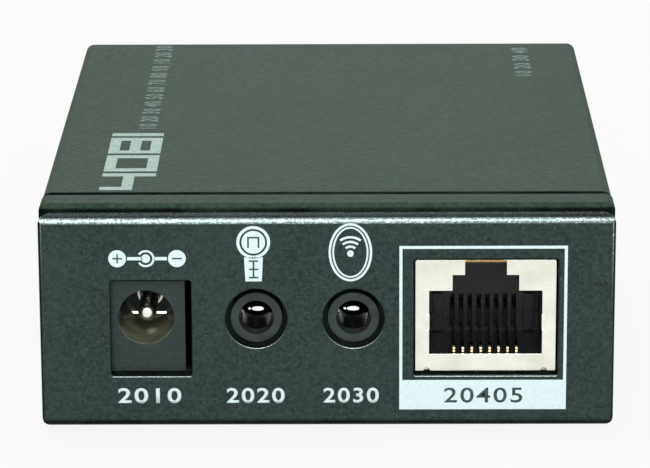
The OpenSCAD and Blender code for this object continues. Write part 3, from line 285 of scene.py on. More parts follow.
class Effects:
    """The shader node groups that several finishes share, each built once."""

    @staticmethod
    def _group(name: str, inputs: dict[str, float],
               outputs: tuple[str, ...] = ("Shade", "Height")) -> tuple[Graph, Node, Node]:
        """Starts a group with a Vector input.

        Args:
            name: Name of the group.
            inputs: Number inputs with their defaults.
            outputs: Names of the value outputs.

        Returns:
            The graph, the input node and the output node.
        """
        tree = bpy.data.node_groups.new(name, "ShaderNodeTree")
        tree.interface.new_socket("Vector", in_out="INPUT", socket_type="NodeSocketVector")
        for key, value in inputs.items():
            socket = tree.interface.new_socket(key, in_out="INPUT", socket_type="NodeSocketFloat")
            socket.default_value = value
        for key in outputs:
            tree.interface.new_socket(key, in_out="OUTPUT", socket_type="NodeSocketFloat")
        graph = Graph(tree)
        return graph, graph.add("NodeGroupInput"), graph.add("NodeGroupOutput")

    @staticmethod
    def _texture(graph: Graph, start: Node, kind: str, times: float = 1.0,
                 squash: tuple[float, float, float] | None = None, **settings: object) -> Socket:
        """Adds a texture that reads the group's Vector and Scale.

        Args:
            graph: The group's graph.
            start: The group's input node.
            kind: Blender's name of the texture, after ShaderNodeTex.
            times: Factor on the group's scale.
            squash: Scale of the coordinates along each axis.
            **settings: Settings of the texture, as add takes them.

        Returns:
            The texture's first output.
        """
        node = graph.add("ShaderNodeTex" + kind, **settings)
        place = start.outputs["Vector"]
        if squash:
            mapping = graph.add("ShaderNodeMapping", vector_type="POINT", in_Scale=squash)
            graph.link(place, mapping.inputs["Vector"])
            place = mapping.outputs["Vector"]
        graph.link(place, node.inputs["Vector"])
        graph.link(graph.product(start.outputs["Scale"], times), node.inputs["Scale"])
        return node.outputs[0]

    @staticmethod
    def _close(graph: Graph, end: Node, *values: Socket) -> bpy.types.NodeTree:
        """Links the values to the group's outputs in order.

        Args:
            graph: The group's graph.
            end: The group's output node.
            *values: A socket for each output.

        Returns:
            The group's tree.
        """
        for value, target in zip(values, end.inputs):
            graph.link(value, target)
        return graph.tree

    @classmethod
    def get(cls, pattern: Pattern) -> bpy.types.NodeTree:
        """The group of a pattern, built at its first use by the method of its name."""
        found = bpy.data.node_groups.get(pattern.value)
        return found or getattr(cls, pattern.value)(pattern.value)

    @classmethod
    def powder_grain(cls, name: str) -> bpy.types.NodeTree:
        """Orange-peel relief with fine flecks, as of a textured powder coat.

        Args:
            name: Name of the group.

        Returns:
            The group's tree.
        """
        graph, start, end = cls._group(name, {"Scale": 3000.0, "Fleck": 0.3})
        coarse = cls._texture(graph, start, "Noise", 0.55, in_Detail=2.0, in_Roughness=0.55)
        fine = cls._texture(graph, start, "Voronoi", feature="SMOOTH_F1", in_Smoothness=0.6)
        fleck = cls._texture(graph, start, "Noise", 0.8, in_Detail=1.0, in_Roughness=0.4)
        domes = graph.span(fine, 0.1, 0.75, 1.0, 0.0)
        height = graph.maths("ADD", graph.product(coarse, 0.7), graph.product(domes, 0.5))
        flecks = graph.product(graph.span(fleck, 0.62, 0.74), start.outputs["Fleck"])
        shade = graph.maths("ADD", graph.span(coarse, 0.3, 0.7, 0.15, 0.6), flecks)
        return cls._close(graph, end, shade, height)

    @classmethod
    def mould_grain(cls, name: str) -> bpy.types.NodeTree:
        """The soft satin grain of a spark-eroded mould.

        Args:
            name: Name of the group.

        Returns:
            The group's tree.
        """
        graph, start, end = cls._group(name, {"Scale": 4000.0})
        cells = cls._texture(graph, start, "Voronoi", feature="F1")
        cloud = cls._texture(graph, start, "Noise", 0.12, in_Detail=3.0, in_Roughness=0.6)
        return cls._close(graph, end, graph.span(cloud, 0.3, 0.7), cells)

    @classmethod
    def plate_cloud(cls, name: str) -> bpy.types.NodeTree:
        """The faint clouding and rolling marks of plated sheet.

        Args:
            name: Name of the group.

        Returns:
            The group's tree.
        """
        graph, start, end = cls._group(name, {"Scale": 250.0})
        cloud = cls._texture(graph, start, "Noise", in_Detail=4.0, in_Roughness=0.5)
        marks = cls._texture(graph, start, "Noise", 5.0, (1.0, 1.0, 9.0), in_Detail=2.0,
                             in_Roughness=0.7)
        mixed = graph.maths("ADD", graph.product(cloud, 0.7), graph.product(marks, 0.3))
        return cls._close(graph, end, graph.span(mixed, 0.32, 0.68), marks)

    @classmethod
    def brush_lines(cls, name: str) -> bpy.types.NodeTree:
        """Fine drawn lines along the longer way of a metal part.

        Args:
            name: Name of the group.

        Returns:
            The group's tree.
        """
        graph, start, end = cls._group(name, {"Scale": 900.0})
        lines = cls._texture(graph, start, "Noise", 1.0, (1.0, 0.08, 1.0), in_Detail=5.0,
                             in_Roughness=0.7)
        return cls._close(graph, end, graph.span(lines, 0.3, 0.7), lines)

    @classmethod
    def ink_mottle(cls, name: str) -> bpy.types.NodeTree:
        """The slightly uneven cover of screen-printed ink over a rough coat.

        Args:
            name: Name of the group.

        Returns:
            The group's tree.
        """
        graph, start, end = cls._group(name, {"Scale": 2200.0})
        mottle = cls._texture(graph, start, "Noise", in_Detail=2.0, in_Roughness=0.5)
        return cls._close(graph, end, graph.span(mottle, 0.35, 0.6), mottle)

    @classmethod
    def handling_haze(cls, name: str) -> bpy.types.NodeTree:
        """Broad handling marks: rubbed, duller and dustier places over a surface.

        Args:
            name: Name of the group.

        Returns:
            The group's tree.
        """
        graph, start, end = cls._group(name, {"Scale": 120.0, "Amount": 0.5}, ("Mask",))
        broad = cls._texture(graph, start, "Noise", in_Detail=5.0, in_Roughness=0.62,
                             in_Distortion=0.6)
        mask = graph.product(graph.span(broad, 0.42, 0.7), start.outputs["Amount"])
        return cls._close(graph, end, mask)


@dataclass
class Skin:
    """What a finish of its own kind works on while its material is built.

    Attributes:
        graph: The material's graph.
        place: Object coordinates.
        colour: The colour so far.
        shader: The material's shader.
    """

    graph: Graph
    place: Socket
    colour: Socket
    shader: Node


@dataclass(frozen=True)
class Finish:
    """One finish: two tones, a roughness range, a fine pattern and its relief.

    Attributes:
        name: Name of the material.
        dark: Colour of the pattern's low places.
        light: Colour of the pattern's high places.
        rough: Lowest and highest roughness.
        pattern: The fine pattern.
        scale: Cells of the pattern in a metre.
        relief: Depth of the pattern's relief in millimetres.
        haze: Strength of the broad handling marks.
        metallic: Metal share.
        sockets: Other constants of the shader.
    """

    name: str
    dark: Colour
    light: Colour
    rough: tuple[float, float]
    pattern: Pattern
    scale: float
    relief: float
    haze: float = 0.4
    metallic: float = 0.0
    sockets: tuple[tuple[str, object], ...] = ()

    def material(self) -> bpy.types.Material:
        """The finish's material, built at its first use."""
        return bpy.data.materials.get(self.name) or self._build()

    def _build(self) -> bpy.types.Material:
        """Builds the node tree.

        Returns:
            The new material.
        """
        made = bpy.data.materials.new(self.name)
        graph = Graph.of(made)
        place = graph.add("ShaderNodeTexCoord").outputs["Object"]
        fine = graph.add("ShaderNodeGroup", node_tree=Effects.get(self.pattern),
                         in_Scale=self.scale)
        broad = graph.add("ShaderNodeGroup", node_tree=Effects.get(Pattern.HAZE),
                          in_Amount=self.haze)
        graph.link(place, fine.inputs["Vector"])
        graph.link(place, broad.inputs["Vector"])
        shader = graph.add("ShaderNodeBsdfPrincipled", in_Metallic=self.metallic)
        for key, value in self.sockets:
            shader.inputs[key].default_value = value
        colour = graph.blend(fine.outputs["Shade"], self.dark, self.light)
        colour = self.tune(Skin(graph, place, colour, shader))
        dust = tuple(0.75 * a + 0.25 * b for a, b in zip(self.light, self.dark))
        colour = graph.blend(broad.outputs["Mask"], colour, dust)
        graph.link(colour, shader.inputs["Base Color"])
        mixed = graph.maths("ADD", graph.product(fine.outputs["Shade"], 0.45),
                            broad.outputs["Mask"])
        graph.link(graph.span(mixed, 0.0, 1.0, *self.rough), shader.inputs["Roughness"])
        bump = graph.add("ShaderNodeBump", in_Strength=1.0, in_Distance=self.relief * MM)
        graph.link(fine.outputs["Height"], bump.inputs["Height"])
        graph.link(bump.outputs["Normal"], shader.inputs["Normal"])
        graph.close("ShaderNodeOutputMaterial", shader.outputs["BSDF"])
        return made

    def tune(self, skin: Skin) -> Socket:
        """Changes of a finish of its own to colour and shader; none here.

        Args:
            skin: The material under construction.

        Returns:
            The colour socket to go on with.
        """
        return skin.colour

    def darker(self, share: float) -> Colour:
        """A share of the dark tone, for places in shade."""
        return tuple(share * part for part in self.dark)


@dataclass(frozen=True)
class BoardFinish(Finish):
    """Solder mask with the paler lines of the copper under it.

    Attributes:
        copper: Colour of the lines.
        line_scale: Cells between the lines in a metre.
        line_edge: Distances from a line's middle, in cells, where it fades and has ended.
        cover: Strength of the lines.
    """

    copper: Colour = tone(26, 44, 34)
    line_scale: float = 260.0
    line_edge: tuple[float, float] = (0.03, 0.05)
    cover: float = 0.9

    def tune(self, skin: Skin) -> Socket:
        """Lays the lines of the copper into the mask's colour.

        Args:
            skin: The material under construction.

        Returns:
            The colour with the lines.
        """
        graph = skin.graph
        cells = graph.add("ShaderNodeTexVoronoi", feature="DISTANCE_TO_EDGE",
                          in_Scale=self.line_scale, in_Randomness=0.65)
        graph.link(skin.place, cells.inputs["Vector"])
        lines = graph.span(cells.outputs["Distance"], *self.line_edge, self.cover, 0.0)
        return graph.blend(lines, skin.colour, self.copper)


@dataclass(frozen=True)
class PanelFinish(Finish):
    """Powder coat with fine pale specks that flows thin and glossy over upward edges; shade is
    painted on flat tops and on faces turned down or sideways.

    Attributes:
        speck: Colour of the specks.
        speck_scale: Cells of the specks' noise in a metre.
        speck_range: Noise values where a speck starts and is full.
        speck_cover: Strength of the specks.
        gloss: Specular level of the upward edges.
        iors: Index of refraction of the coat, on flat places and on the upward edges.
        slopes: How far upward a normal points where the gloss starts, is full, is
            still full, and has ended.
        below: How far upward a normal points where the painted shade below is full and has ended.
        beside: How far sideways a normal points where the painted side shade starts and is full.
        top_shade: Strength of the painted shade on the flat tops.
        turned_shade: Strength of the painted shades below and beside.
        shade_tone: Share of the dark tone that the painted shades keep.
    """

    speck: Colour = tone(112, 134, 129)
    speck_scale: float = 4200.0
    speck_range: tuple[float, float] = (0.62, 0.8)
    speck_cover: float = 0.5
    gloss: float = 1.0
    iors: tuple[float, float] = (1.5, 2.0)
    slopes: tuple[float, float, float, float] = (0.04, 0.16, 0.62, 0.72)
    below: tuple[float, float] = (-0.45, -0.04)
    beside: tuple[float, float] = (0.1, 0.55)
    top_shade: float = 0.75
    turned_shade: float = 0.9
    shade_tone: float = 0.3

    def tune(self, skin: Skin) -> Socket:
        """Adds the specks, raises the gloss on the upward edges and paints shade on the others.

        Args:
            skin: The material under construction.

        Returns:
            The colour with the specks and the painted shade.
        """
        graph, shader = skin.graph, skin.shader
        specks = graph.span(graph.noise(skin.place, self.speck_scale, 1.0),
                            *self.speck_range, 0.0, self.speck_cover)
        sideways, _, upward = graph.axes(graph.add("ShaderNodeTexCoord").outputs["Normal"])
        first, full, still, last = self.slopes
        edges = graph.product(graph.span(upward, first, full),
                              graph.span(upward, still, last, 1.0, 0.0))
        low = dict(self.sockets)["Specular IOR Level"]
        graph.link(graph.span(edges, 0.0, 1.0, *self.iors), shader.inputs["IOR"])
        # Painted shade: flat tops, faces turned down and faces turned sideways take a share of the
        # dark tone, and the turned faces also lose specular level.
        above = graph.span(upward, still, last, 0.0, self.top_shade)
        below = graph.span(upward, *self.below, self.turned_shade, 0.0)
        beside = graph.span(graph.maths("ABSOLUTE", sideways), *self.beside,
                            0.0, self.turned_shade)
        turned = graph.maths("MAXIMUM", below, beside)
        level = graph.product(graph.span(edges, 0.0, 1.0, low, self.gloss),
                              graph.maths("SUBTRACT", 1.0, turned))
        graph.link(level, shader.inputs["Specular IOR Level"])
        colour = graph.blend(specks, skin.colour, self.speck)
        return graph.blend(graph.maths("MAXIMUM", above, turned), colour,
                           self.darker(self.shade_tone))


@dataclass(frozen=True)
class CoverFinish(Finish):
    """Powder coat with painted shade in the seams before and behind the collar.

    Attributes:
        seam_y: Middle of the seam along Y, in millimetres.
        seam_half: Half the width of the strip of painted shade, in millimetres.
        seam_core: Share of that half width that is fully dark.
        rim_y: Back end of the collar's front rim, darkened by painted shade, along Y, in
            millimetres.
        rim_soft: Length over which the rim's shade ends along Y, in millimetres.
        rim_z: Height under which the front rim gets painted shade, in millimetres.
        rim_fade: Half the height over which that shade ends, in millimetres.
        cover: Strength of the painted shades.
        shade_tone: Share of the dark tone that the painted shades keep.
    """

    seam_y: float = -33.95
    seam_half: float = 0.75
    seam_core: float = 0.6
    rim_y: float = -37.2
    rim_soft: float = 0.1
    rim_z: float = 27.02
    rim_fade: float = 0.12
    cover: float = 0.9
    shade_tone: float = 0.25

    def tune(self, skin: Skin) -> Socket:
        """Paints shade into the seam and onto the collar's front rim.

        Args:
            skin: The material under construction.

        Returns:
            The colour with the painted shade.
        """
        graph = skin.graph
        _, along, upward = graph.axes(skin.place)
        # Painted shade: the seam's gap and the collar's front rim below the panel's top edge get a
        # share of the dark tone and lose their specular level.
        away = graph.maths("ABSOLUTE", graph.maths("SUBTRACT", along, self.seam_y * MM))
        seam = graph.span(away, self.seam_half * self.seam_core * MM, self.seam_half * MM,
                          self.cover, 0.0)
        front = graph.span(along, (self.rim_y - self.rim_soft) * MM, self.rim_y * MM, 1.0, 0.0)
        low = graph.span(upward, (self.rim_z - self.rim_fade) * MM,
                         (self.rim_z + self.rim_fade) * MM, self.cover, 0.0)
        mask = graph.maths("MAXIMUM", seam, graph.product(front, low))
        level = dict(self.sockets)["Specular IOR Level"]
        graph.link(graph.span(mask, 0.0, self.cover, level, 0.0),
                   skin.shader.inputs["Specular IOR Level"])
        return graph.blend(mask, skin.colour, self.darker(self.shade_tone))


@dataclass(frozen=True)
class BoreFinish(Finish):
    """Moulding with a contact plate of another colour in its round bore, and a spot of that colour
    without metal as painted light.

    Attributes:
        plate: Colour of the plate.
        bore_x: Axis of the bore across, in millimetres.
        bore_z: Axis of the bore upward, in millimetres.
        bore_r: Radius of the bore, in millimetres.
        shell: How far inward from the wall the plate reaches, in millimetres.
        level: Heights over the axis where the plate is full and has ended.
        start: Front end of the plate along Y, in millimetres.
        spot: Middle and half size across, then along Y, of the spot of painted light, where the
            plate colour goes on at full strength without metal, in millimetres.
        wall: How far outside the bore the plate fades and has ended, in millimetres.
        soft: Over what length the plate's inner side and its front end fade, in millimetres.
        cloud_scale: Cells of the plate's clouding in a metre.
        cloud_range: Noise values where the clouding starts and is full.
        cloud_low: Strength of the plate in its dull places, as a share.
        cover: Strength of the plate outside the spot.
        metal: Metal share of the plate at full strength.
    """

    plate: Colour = tone(206, 206, 168)
    bore_x: float = -20.5
    bore_z: float = 14.3
    bore_r: float = 3.15
    shell: float = 0.3
    level: tuple[float, float] = (-2.3, -0.9)
    start: float = -40.0
    spot: tuple[float, float, float, float] = (0.35, 0.8, -33.9, 1.5)
    wall: tuple[float, float] = (0.02, 0.1)
    soft: tuple[float, float] = (0.2, 0.3)
    cloud_scale: float = 420.0
    cloud_range: tuple[float, float] = (0.35, 0.65)
    cloud_low: float = 0.4
    cover: float = 0.45
    metal: float = 0.8

    def tune(self, skin: Skin) -> Socket:
        """Lays the plate into the bore's wall, with its spot of painted light.

        Args:
            skin: The material under construction.

        Returns:
            The colour with the plate and the painted light.
        """
        graph = skin.graph
        x, along, z = graph.axes(skin.place)
        across = graph.maths("SUBTRACT", x, self.bore_x * MM)
        upward = graph.maths("SUBTRACT", z, self.bore_z * MM)
        radius = graph.maths("SQRT", graph.squares(across, upward))
        full, last = self.wall
        outer = graph.span(radius, (self.bore_r + full) * MM, (self.bore_r + last) * MM, 1.0, 0.0)
        reach, (side, front) = self.bore_r - self.shell, self.soft
        inner = graph.span(radius, (reach - side) * MM, reach * MM)
        deep = graph.span(along, self.start * MM, (self.start + front) * MM)
        full, last = self.level
        lower = graph.span(upward, full * MM, last * MM, 1.0, 0.0)
        inside = graph.product(outer, inner, deep, lower)
        # Painted light: inside the spot the plate colour goes on at full strength without metal;
        # with the power jack's pale colour it is a painted highlight.
        middle, half, depth, length = self.spot
        off = graph.squares(
            graph.span(across, (middle - half) * MM, (middle + half) * MM, -1.0, 1.0),
            graph.span(along, (depth - length) * MM, (depth + length) * MM, -1.0, 1.0))
        lit = graph.product(inside, graph.span(off, 0.05, 1.0, 1.0, 0.0))
        cloud = graph.span(graph.noise(skin.place, self.cloud_scale, 2.0), *self.cloud_range,
                           self.cloud_low, 1.0)
        mask = graph.maths("MAXIMUM", graph.product(inside, cloud, self.cover), lit)
        metal = graph.product(graph.maths("SUBTRACT", mask, lit), self.metal)
        graph.link(metal, skin.shader.inputs["Metallic"])
        return graph.blend(mask, skin.colour, self.plate)


@dataclass(frozen=True)
class WireFinish(Finish):
    """Contact wire whose root lies in the comb's shade, painted on as a dark colour.

    Attributes:
        root: Along Y, where the dark root starts to clear and is clear, in millimetres.
        shade: Colour of the painted shade on the root.
    """

    root: tuple[float, float] = (-37.3, -37.05)
    shade: Colour = tone(22, 22, 20)

    def tune(self, skin: Skin) -> Socket:
        """Paints the comb's shade over the root.

        Args:
            skin: The material under construction.

        Returns:
            The colour with the painted shade on the root.
        """
        first, last = self.root
        along = skin.graph.axes(skin.place)[1]
        root_painted_shade = skin.graph.span(along, first * MM, last * MM, 1.0, 0.0)
        return skin.graph.blend(root_painted_shade, skin.colour, self.shade)


class Finishes:
    """The finishes of the box, one for each material of the record and for the prints."""

    PANEL = PanelFinish("panel_powder", tone(18, 26, 25), tone(62, 78, 73), (0.24, 0.4),
                        Pattern.POWDER, 3400.0, 0.05, 0.35, 0.0,
                        (*shine(0.22), ("Specular Tint", tone(228, 250, 250))))
    COVER = CoverFinish("cover_powder", tone(22, 33, 26), tone(73, 95, 79), (0.6, 0.78),
                        Pattern.POWDER, 2600.0, 0.05, 0.35, 0.0, shine(0.1))
    STEEL = Finish("zinc_steel", tone(150, 152, 150), tone(205, 207, 204), (0.25, 0.45),
                   Pattern.BRUSH, 1500.0, 0.004, 0.4, 1.0)
    RUBBER = Finish("foot_rubber", tone(22, 23, 23), tone(44, 46, 45), (0.75, 0.95),
                    Pattern.MOULD, 2600.0, 0.03, 0.6, 0.0, shine(0.3))
    BOARD = BoardFinish("solder_mask", tone(7, 14, 11), tone(14, 26, 19), (0.3, 0.48),
                        Pattern.PLATE, 500.0, 0.01, 0.3, 0.0, shine(0.25))
    JACK = Finish("jack_moulding", tone(30, 37, 36), tone(54, 66, 64), (0.42, 0.6),
                  Pattern.MOULD, 4200.0, 0.012, 0.3, 0.0, shine(0.3))
    # The power jack's pale plate on the lower bore wall is a metal contact together with a painted
    # highlight spot.
    POWER_JACK = BoreFinish("power_jack_moulding", tone(24, 34, 33), tone(50, 66, 64), (0.4, 0.58),
                            Pattern.POWDER, 3800.0, 0.02, 0.3, 0.0, shine(0.3))
    # The audio jacks' near-black plate colour is painted shade over the bore's wall behind the
    # mouth.
    LEFT_JACK = BoreFinish("left_jack_moulding", tone(30, 37, 36), tone(54, 66, 64), (0.42, 0.6),
                           Pattern.MOULD, 4200.0, 0.012, 0.3, 0.0, shine(0.3), tone(8, 10, 10),
                           -8.0, 14.3, 2.0, 3.0, (4.0, 4.5), -38.4)
    RIGHT_JACK = replace(LEFT_JACK, name="right_jack_moulding", bore_x=3.0)
    # Near-black sleeve finish in place of nickel: painted shade over the sleeve contacts deep in
    # the audio jacks' bores.
    DARK_SLEEVE = Finish("sleeve_painted_shade", tone(10, 11, 11), tone(26, 28, 27), (0.12, 0.24),
                         Pattern.BRUSH, 1200.0, 0.002, 0.25, 0.0, shine(0.5))
    BLACK = Finish("black_moulding", tone(8, 11, 12), tone(28, 34, 36), (0.22, 0.5),
                   Pattern.MOULD, 1500.0, 0.03, 0.5, 0.0, shine(0.3))
    NICKEL = Finish("bright_nickel", tone(228, 228, 212), tone(252, 252, 242), (0.16, 0.34),
                    Pattern.PLATE, 320.0, 0.006, 0.35, 1.0)
    GOLD = Finish("gold_flash", tone(216, 192, 142), tone(248, 232, 196), (0.14, 0.3),
                  Pattern.PLATE, 900.0, 0.002, 0.3, 1.0)
    WIRE = WireFinish("contact_wire", tone(222, 204, 168), tone(250, 240, 216), (0.14, 0.3),
                      Pattern.PLATE, 900.0, 0.002, 0.3, 1.0)
    RAW_BRASS = Finish("cut_brass_edge", tone(150, 118, 62), tone(196, 162, 98), (0.3, 0.5),
                       Pattern.BRUSH, 2500.0, 0.004, 0.3, 1.0)
    LAMP_RED = Finish("red_resin", tone(168, 20, 16), tone(206, 40, 30), (0.05, 0.16),
                      Pattern.PLATE, 300.0, 0.002, 0.25, 0.0,
                      (("Transmission Weight", 0.55), ("IOR", 1.5)))
    LAMP_GREEN = replace(LAMP_RED, name="green_resin", dark=tone(26, 148, 52),
                         light=tone(56, 190, 84))
    CHIP = Finish("chip_moulding", tone(24, 24, 26), tone(46, 46, 48), (0.5, 0.7),
                  Pattern.MOULD, 6500.0, 0.008, 0.3)
    PAD = Finish("heat_pad", tone(146, 150, 158), tone(178, 182, 190), (0.7, 0.9),
                 Pattern.MOULD, 1800.0, 0.02, 0.3)
    FIN = Finish("extruded_aluminium", tone(160, 163, 168), tone(208, 210, 214), (0.28, 0.48),
                 Pattern.BRUSH, 1200.0, 0.006, 0.35, 1.0)
    CAN = Finish("drawn_can", tone(182, 184, 188), tone(226, 228, 230), (0.2, 0.36),
                 Pattern.BRUSH, 1800.0, 0.003, 0.3, 1.0)
    FERRITE = Finish("ferrite_body", tone(58, 58, 62), tone(88, 88, 92), (0.6, 0.85),
                     Pattern.MOULD, 3600.0, 0.02, 0.3)
    CERAMIC = Finish("fired_ceramic", tone(158, 128, 88), tone(196, 166, 122), (0.45, 0.65),
                     Pattern.MOULD, 5000.0, 0.006, 0.25)
    FILM = Finish("glazed_film", tone(16, 17, 20), tone(38, 40, 46), (0.2, 0.4),
                  Pattern.MOULD, 5000.0, 0.003, 0.25)
    INK = Finish("pale_ink", tone(220, 240, 242), tone(230, 248, 250), (0.5, 0.7),
                 Pattern.INK, 2600.0, 0.02, 0.12, 0.0, shine(0.35))
    TOP_INK = Finish("top_ink", tone(160, 184, 174), tone(188, 210, 200), (0.6, 0.8),
                     Pattern.INK, 2600.0, 0.02, 0.2, 0.0, shine(0.2))
    FAINT_INK = Finish("faint_ink", tone(98, 118, 107), tone(136, 156, 146), (0.6, 0.8),
                       Pattern.INK, 2600.0, 0.02, 0.3, 0.0, shine(0.2))
    DARK_INK = Finish("dark_ink", tone(42, 56, 58), tone(66, 82, 82), (0.5, 0.7),
                      Pattern.INK, 2600.0, 0.015, 0.3, 0.0, shine(0.35))


class Form:
    """A mesh under construction, in millimetres, that ends as one finished piece."""

    def __init__(self) -> None:
        """Starts with nothing in the mesh."""
        self.mesh = bmesh.new()

    def _move(self, verts: list, size: tuple, centre: tuple) -> list:
        """Stretches new vertices to a size and moves them to a place.

        Args:
            verts: The vertices.
            size: Size along each way.
            centre: Middle of the shape.

        Returns:
            The same vertices.
        """
        bmesh.ops.scale(self.mesh, verts=verts, vec=size)
        bmesh.ops.translate(self.mesh, verts=verts, vec=centre)
        return verts

    def block(self, low: tuple, high: tuple) -> None:
        """Adds a block.

        Args:
            low: Its left, front, lower corner.
            high: Its right, back, upper corner.
        """
        low, high = Vector(low), Vector(high)
        verts = bmesh.ops.create_cube(self.mesh, size=1.0)["verts"]
        self._move(verts, high - low, (low + high) / 2)

    def tile(self, left: float, low: float, right: float, high: float) -> list:
        """Adds a flat rectangle to a drawing.

        Args:
            left: Left side.
            low: Lower side.
            right: Right side.
            high: Upper side.

        Returns:
            Its vertices.
        """
        verts = bmesh.ops.create_grid(self.mesh, x_segments=1, y_segments=1, size=0.5)["verts"]
        return self._move(verts, (right - left, high - low, 1),
                          ((left + right) / 2, (low + high) / 2, 0))

    def disc(self, x: float, y: float, half_w: float, half_h: float, segments: int = 64) -> None:
        """Adds a flat disc or a filled oval to a drawing.

        Args:
            x: Middle across.
            y: Middle upward.
            half_w: Half its width.
            half_h: Half its height.
            segments: Number of its sides.
        """
        made = bmesh.ops.create_circle(self.mesh, cap_ends=True, radius=1.0, segments=segments)
        self._move(made["verts"], (half_w, half_h, 1), (x, y, 0))

    def band(self, x: float, y: float, inner: float, outer: float, start: float = 0.0,
             end: float = 360.0) -> None:
        """Adds a flat ring or a part of one to a drawing.

        Args:
            x: Middle across.
            y: Middle upward.
            inner: Inner radius.
            outer: Outer radius.
            start: First angle in degrees, from the right, against the clock.
            end: Last angle in degrees.
        """
        turn = math.radians(start)
        ways = Vector((math.cos(turn), math.sin(turn), 0))
        ends = [self.mesh.verts.new(ways * inner), self.mesh.verts.new(ways * outer)]
        edge = self.mesh.edges.new(ends)
        before = set(self.mesh.verts)
        full = end - start >= 360
        steps = max(8, int((end - start) / 6))
        bmesh.ops.spin(self.mesh, geom=ends + [edge], cent=(0, 0, 0), axis=(0, 0, 1),
                       angle=math.radians(end - start), steps=steps, use_merge=full)
        new = [v for v in self.mesh.verts if v not in before] + [v for v in ends if v.is_valid]
        self._move(new, (1, 1, 1), (x, y, 0))

    def oval(self, x: float, y: float, half_w: float, half_h: float, line: float) -> None:
        """Adds a flat oval ring whose line is equally wide all round.

        Args:
            x: Middle across.
            y: Middle upward.
            half_w: Half the width of the outer oval.
            half_h: Half the height of the outer oval.
            line: Width of the ring's line.
        """
        edges = []
        for inset in (0.0, line):
            verts = bmesh.ops.create_circle(self.mesh, radius=1.0, segments=96)["verts"]
            self._move(verts, (half_w - inset, half_h - inset, 1), (x, y, 0))
            edges += {edge for vert in verts for edge in vert.link_edges}
        bmesh.ops.bridge_loops(self.mesh, edges=edges)

    def letters(self, words: str, x: float, y: float, height: float, width: float,
                bold: float = 0.0, turn: float = 0.0) -> None:
        """Adds plain numbers to a drawing, centred on a place.

        Args:
            words: The numbers.
            x: Middle across.
            y: Middle upward.
            height: Height of the row of numbers.
            width: Width of the row of numbers.
            bold: How far each stroke is widened on both sides.
            turn: Turn against the clock, in degrees.
        """
        curve = bpy.data.curves.new("number", type="FONT")
        curve.body = words
        curve.align_x, curve.align_y = "CENTER", "CENTER"
        curve.size = height / CAPITAL_SHARE
        curve.offset = bold
        curve.space_character = LETTER_SPACE
        carrier = bpy.data.objects.new("number", curve)
        bpy.context.scene.collection.objects.link(carrier)
        bpy.context.view_layer.update()
        flat = bpy.data.meshes.new_from_object(carrier)
        before = set(self.mesh.verts)
        self.mesh.from_mesh(flat)
        new = [v for v in self.mesh.verts if v not in before]
        bmesh.ops.remove_doubles(self.mesh, verts=new, dist=MERGE_MM)
        new = [v for v in self.mesh.verts if v not in before]
        low = Vector((min(v.co.x for v in new), min(v.co.y for v in new), 0))
        high = Vector((max(v.co.x for v in new), max(v.co.y for v in new), 0))
        bmesh.ops.translate(self.mesh, verts=new, vec=-(low + high) / 2)
        bmesh.ops.scale(self.mesh, verts=new, vec=(width / (high.x - low.x),
                                                   height / (high.y - low.y), 1))
        bmesh.ops.rotate(self.mesh, verts=new, cent=(0, 0, 0),
                         matrix=Matrix.Rotation(math.radians(turn), 3, "Z"))
        bmesh.ops.translate(self.mesh, verts=new, vec=(x, y, 0))
        bpy.data.objects.remove(carrier)
        bpy.data.meshes.remove(flat)
        bpy.data.curves.remove(curve)

    def thicken(self, depth: float) -> None:
        """Gives every flat face of the drawing a thickness, outwards.

        Args:
            depth: The thickness.
        """
        made = bmesh.ops.extrude_face_region(self.mesh, geom=self.mesh.faces[:])
        lifted = [v for v in made["geom"] if isinstance(v, bmesh.types.BMVert)]
        bmesh.ops.translate(self.mesh, verts=lifted, vec=(0, 0, depth))

    def bead(self, path: list[tuple[float, float]], radius: float, sides: int = 10) -> None:
        """Adds a round bead along a closed path in the drawing's plane.

        Args:
            path: The path's points, across and upward, against the clock.
            radius: Radius of the bead.
            sides: Number of its sides.
        """
        rings = []
        for place, point in enumerate(path):
            here, after = Vector(point), Vector(path[(place + 1) % len(path)])
            along = (after - Vector(path[place - 1])).normalized()
            outward = Vector((along.y, -along.x))
            ring = []
            for side in range(sides):
                turn = math.tau * side / sides
                flat = here + outward * radius * math.cos(turn)
                ring.append(self.mesh.verts.new((flat.x, flat.y, radius * math.sin(turn))))
            rings.append(ring)
        for place, ring in enumerate(rings):
            before = rings[place - 1]
            for side in range(sides):
                face = self.mesh.faces.new((before[side], before[side - 1],
                                            ring[side - 1], ring[side]))
                face.smooth = True

    def place(self, matrix: Matrix) -> None:
        """Moves the whole mesh by a matrix, in millimetres."""
        bmesh.ops.transform(self.mesh, matrix=matrix, verts=self.mesh.verts[:])

    def piece(self, name: str, finish: Finish, slot: str | None = None,
              bevel: float = 0.0, body: Body = Body.CASE) -> None:
        """Ends the mesh as a piece of the object.

        Args:
            name: Name of the piece.
            finish: Its finish.
            slot: The record's material slot of its finish; not used.
            bevel: Width of the rounding of its edges, in millimetres.
            body: The body it rides on.
        """
        bmesh.ops.remove_doubles(self.mesh, verts=self.mesh.verts[:], dist=MERGE_MM)
        bmesh.ops.recalc_face_normals(self.mesh, faces=self.mesh.faces[:])
        bmesh.ops.scale(self.mesh, verts=self.mesh.verts[:], vec=(MM, MM, MM))
        data = bpy.data.meshes.new(name)
        self.mesh.to_mesh(data)
        self.mesh.free()
        data.materials.append(finish.material())
        made = bpy.data.objects.new(name, data)
        bpy.context.scene.collection.objects.link(made)
        if bevel:
            soften(made, bevel)
        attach(made, body.value)
        LOG.info("piece %s: %d faces, finish %s", name, len(data.polygons), finish.name)


